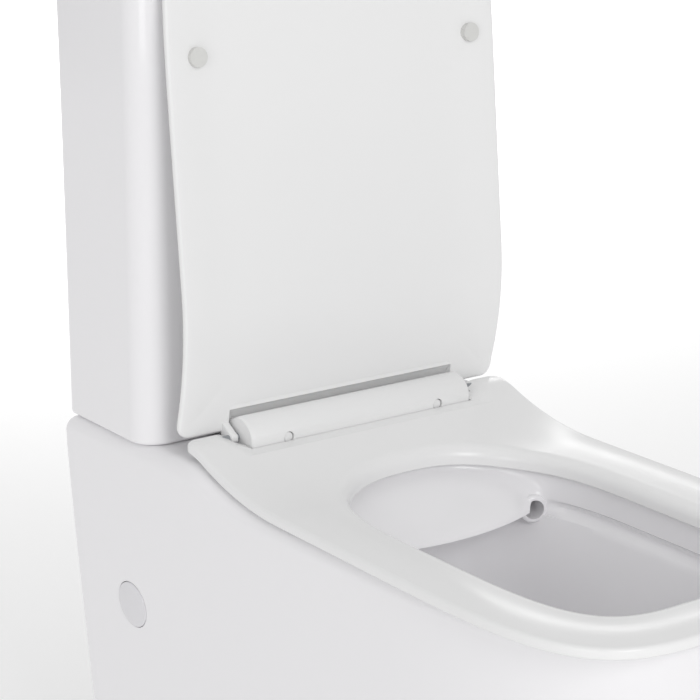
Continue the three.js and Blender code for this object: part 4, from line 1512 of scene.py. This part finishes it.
@dataclass
class HingeCover:
    """The bar between the seat's ears that hides the hinges, with its two release buttons."""

    datum: Datum
    half: float = 114.0
    hinge_y: float = 22.4
    hinge_z: float = 431.0
    radius: float = 22.4
    top: float = 17.5
    rear: float = 36.0
    foot: float = 420.3
    spacing: float = 156.0
    button_radius: float = 4.3
    button_drop: float = -1.6

    def build(self) -> None:
        """Makes the bar, its button holes and the buttons."""
        at = self.datum.at
        section: list[Plan] = [(self.hinge_y - self.radius + 1, self.foot)]
        for step in range(0, 25):
            angle = math.pi * (1 - step / 48)
            section.append((
                self.hinge_y + self.radius * math.cos(angle), self.hinge_z + self.top * math.sin(angle),
            ))
        crest = self.hinge_z + self.top
        section.extend([(self.rear - 2, crest - 5), (self.rear, crest - 9), (self.rear, self.foot)])
        middle = Vector((0, self.hinge_y, self.hinge_z))
        rings = []
        for x, draw in ((-self.half, 0.93), (-self.half + 0.7, 0.975), (-self.half + 2.0, 1.0),
                        (0.0, 1.0), (self.half - 2.0, 1.0), (self.half - 0.7, 0.975), (self.half, 0.93)):
            ring = []
            for y, z in section:
                y2 = middle.y + (y - middle.y) * draw
                z2 = max(self.foot, middle.z + (z - middle.z) * draw)
                ring.append(at(x, y2, z2))
            rings.append(ring)
        bar = ring_body("hinge_cover_resin", rings, End.CAP, End.CAP)
        z = self.hinge_z + self.button_drop
        across = self.spacing / 2
        bars = [
            rod("bar", at(side * across, -10, z), at(side * across, 7.0, z), self.button_radius + 0.7, 40)
            for side in (-1, 1)
        ]
        combine(bar, together(bars), Cut.AWAY)
        smooth(bar, 34)
        install(bar, DUROPLAST, "seat_duroplast", "hinge_carrier", "hinge_cover")
        for side, name in ((-1, "left"), (1, "right")):
            x = side * self.spacing / 2
            button = rod(f"release_{name}_resin", at(x, 1.2, z), at(x, 6.5, z), self.button_radius, 40)
            soften(button, 0.8, 3)
            smooth(button)
            install(button, DUROPLAST, "seat_duroplast", f"release_{name}", f"release_button_{name}")


# ---------- flush buttons and inner fittings ----------


@dataclass
class Fittings:
    """The turned pieces of the flush button, the flush valve and the fill valve."""

    datum: Datum
    middle: float = 128.35
    fill_x: float = -125.0

    def centre(self, x: float) -> Plan:
        """A plan centre in metres."""
        point = self.datum.at(x, self.middle, 0)
        return point.x, point.y

    def fit(
        self, name: str, node: str, x: float, profile: Sequence[Plan], finish: Finish, slot: str, body: str,
        hollow: bool, edge: float = 0.5,
    ) -> None:
        """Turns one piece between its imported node's own heights.

        Args:
            name: Name of the new piece.
            node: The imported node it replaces.
            x: Its axis, from the middle of the toilet.
            profile: Radius and height pairs, the heights counted from the node's lowest point.
            finish: What it is made of.
            slot: The record's material slot.
            body: The body that it moves with.
            hollow: True for a ring.
            edge: Rounding of its edges.
        """
        low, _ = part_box(node)
        piece = turned(name, self.centre(x), [(r, z + low.z / MM) for r, z in profile], hollow)
        if edge:
            soften(piece, edge, 2)
        smooth(piece)
        install(piece, finish, slot, body, node)

    def build(self) -> None:
        """Makes every turned fitting."""
        self.fit("button_housing_plated", "button_housing", 0, [
            (27.5, 0), (30, 0), (30, 44.3), (35, 44.3), (35, 45.4), (34.2, 46.3), (28.4, 46.3), (27.5, 45.4),
        ], CHROME, "chrome", "cistern_cover", True, 0.0)
        self.fit("overflow_tube_grey", "flush_valve_tube", 0, [
            (14, 0), (30, 0), (30, 3), (16.5, 3), (16.5, 218.6), (14, 218.6),
        ], GREY_ABS, "grey_plastic", "valve", True, 0.4)
        self.fit("valve_seal_rubber", "flush_valve_seal", 0, [
            (20, 0), (31, 0), (31, 2.5), (20, 2.5),
        ], BLACK_RUBBER, "rubber", "valve", True, 0.5)
        self.fit("valve_head_blue", "flush_valve_head", 0, [
            (17.3, 0), (36, 0), (36, 12), (17.3, 12),
        ], BLUE_ABS, "blue_plastic", "toilet_body", True, 1.0)
        self.fit("doughnut_rubber", "doughnut_gasket", 0, [
            (41.7, 0), (49.7, 0), (49.7, 21.7), (41.7, 21.7),
        ], BLACK_RUBBER, "rubber", "toilet_body", True, 2.5)
        self.fit("fill_valve_white", "fill_valve", self.fill_x, [
            (9.5, 0), (9.5, 52.6), (20, 52.6), (20, 57.6), (12, 57.6), (12, 322.6), (24, 328.6), (24, 352.6),
        ], WHITE_ABS, "white_plastic", "toilet_body", False, 1.0)
        self.fit("float_cup_blue", "float_cup", self.fill_x, [
            (12.8, 0), (34, 0), (34, 60), (12.8, 60),
        ], BLUE_ABS, "blue_plastic", "float", True, 2.0)
        self.build_valve_body()
        self.build_buttons()

    def build_valve_body(self) -> None:
        """The flush valve's slotted cage with its flange and threaded tail."""
        low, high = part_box("flush_valve_body")
        base = (low.z / MM) + 33.6
        tail, top = low.z / MM, high.z / MM
        cage = turned("flush_valve_white", self.centre(0), [
            (24, tail), (28, tail), (28, base), (44, base), (44, base + 4), (36, base + 4), (36, top),
            (33, top), (33, base + 6), (24, base + 6),
        ], True)
        at = self.datum.at
        windows = [
            rod("bar", at(60 * math.cos(a), self.middle + 60 * math.sin(a), base + 22),
                at(20 * math.cos(a), self.middle + 20 * math.sin(a), base + 22), 7.0)
            for a in (math.radians(45 + 90 * k) for k in range(4))
        ]
        combine(cage, together(windows), Cut.AWAY)
        smooth(cage)
        install(cage, WHITE_ABS, "white_plastic", "toilet_body", "flush_valve_body")

    def build_buttons(self) -> None:
        """The two halves of the round flush button, each domed and cut straight where they meet."""
        for node, body in (("full_flush_button", "full_button"), ("half_flush_button", "half_button")):
            low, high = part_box(node)
            top = high.z / MM
            disc = turned(f"{body}_plated", self.centre(0), [
                (26.6, top - 9), (26.6, top - 1.4), (26.2, top - 0.6), (25.4, top - 0.15), (22, top),
                (8, top),
            ], False, 64)
            reach = 0.06
            margin = Vector((0, 0.01, 0.01))
            near, far = (high.x, high.x + reach) if body == "full_button" else (low.x - reach, low.x)
            start, finish = Vector((near, low.y, low.z)) - margin, Vector((far, high.y, high.z)) + margin
            combine(disc, block("away", start, finish), Cut.AWAY)
            soften(disc, 0.5, 2)
            smooth(disc)
            install(disc, CHROME, "chrome", body, node)


# ---------- studio ----------


@dataclass(frozen=True)
class SoftBox:
    """A square soft light: its place, its aim and its side in metres, and its power in watts."""

    name: str
    place: tuple[float, float, float]
    aim: tuple[float, float, float]
    size: float
    power: float

    def build(self) -> None:
        """Adds the light to the scene."""
        data = bpy.data.lights.new(self.name, "AREA")
        data.size = self.size
        data.energy = self.power
        light = bpy.data.objects.new(self.name, data)
        light.location = self.place
        light.rotation_euler = (Vector(self.aim) - Vector(self.place)).to_track_quat("-Z", "Y").to_euler()
        bpy.context.scene.collection.objects.link(light)


# A large light in front and a smaller one at the left; the third brightens the floor behind the toilet.
SOFT_BOXES = (
    SoftBox("front", (-0.6, -3.0, 1.9), (0.0, 0.2, 0.6), 1.4, 27.0),
    SoftBox("left", (-2.6, -1.5, 1.2), (0.0, 0.1, 0.7), 1.2, 9.0),
    SoftBox("sweep", (2.2, 4.6, 2.4), (2.2, 5.0, 0.0), 4.0, 170.0),
)


@dataclass
class Studio:
    """The camera, the pale floor and the soft lights."""

    camera_place: tuple[float, float, float] = (-0.9884, -1.2075, 0.9600)
    camera_turn: tuple[float, float, float] = (74.275, 0.0, -35.982)
    lens: float = 106.06
    world_colour: str = "#ffffff"
    world_strength: float = 0.62
    floor_colour: str = "#ffffff"

    def build(self) -> None:
        """Sets up everything round the object."""
        bpy.context.scene.view_settings.view_transform = "Standard"
        self.build_camera()
        self.build_floor()
        self.build_world()
        for light in SOFT_BOXES:
            light.build()

    def build_camera(self) -> None:
        """The camera at the standing viewer's place, looking down over the seat."""
        data = bpy.data.cameras.new("camera")
        data.sensor_width = 36.0
        data.lens = self.lens
        data.clip_start, data.clip_end = 0.05, 60.0
        camera = bpy.data.objects.new("camera", data)
        camera.location = self.camera_place
        camera.rotation_euler = tuple(math.radians(v) for v in self.camera_turn)
        bpy.context.scene.collection.objects.link(camera)
        bpy.context.scene.camera = camera

    def build_floor(self) -> None:
        """A wide pale floor."""
        deselect()
        bpy.ops.mesh.primitive_plane_add(size=40.0, location=(0, 0, 0))
        floor = bpy.context.active_object
        floor.name = "studio_floor"
        colour = self.floor_colour
        Finish("studio_floor_paint", colour, colour, 0.8, 0.02, 300.0, 20.0, 0.02).dress(floor)

    def build_world(self) -> None:
        """Even white light from all round."""
        world = bpy.data.worlds.new("studio")
        bpy.context.scene.world = world
        world.use_nodes = True
        world.node_tree.nodes.clear()
        sky = add_node(
            world.node_tree, "ShaderNodeBackground",
            {"Color": linear(self.world_colour), "Strength": self.world_strength},
        )
        add_node(world.node_tree, "ShaderNodeOutputWorld", links={"Surface": sky.outputs["Background"]})


def dress_frame(frame: dict) -> None:
    """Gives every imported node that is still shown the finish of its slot.

    Args:
        frame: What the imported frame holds.
    """
    slots = {entry["node"]: entry["material_slot"] for entry in frame["record"]["subparts"]}
    for name, node in frame["nodes"].items():
        finish = SLOT_FINISHES[slots[name]]
        for index in range(len(node.data.materials)):
            node.data.materials[index] = finish.material()
        if not node.data.materials:
            node.data.materials.append(finish.material())


def main() -> None:
    """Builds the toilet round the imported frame."""
    logging.basicConfig(level=logging.INFO, format="%(name)s: %(message)s")
    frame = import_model()
    deselect()
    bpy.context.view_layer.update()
    Studio().build()
    dress_frame(frame)
    datum = Datum(hinge_face=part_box("hinge_cover")[0].y)
    pan = Pan(datum)
    pan.build()
    pan.build_caps()
    Cistern(datum).build()
    seat = Seat(datum)
    seat.build_ring()
    seat.build_lid()
    HingeCover(datum).build()
    Fittings(datum).build()
    deselect()


if __name__ == "__main__":
    main()
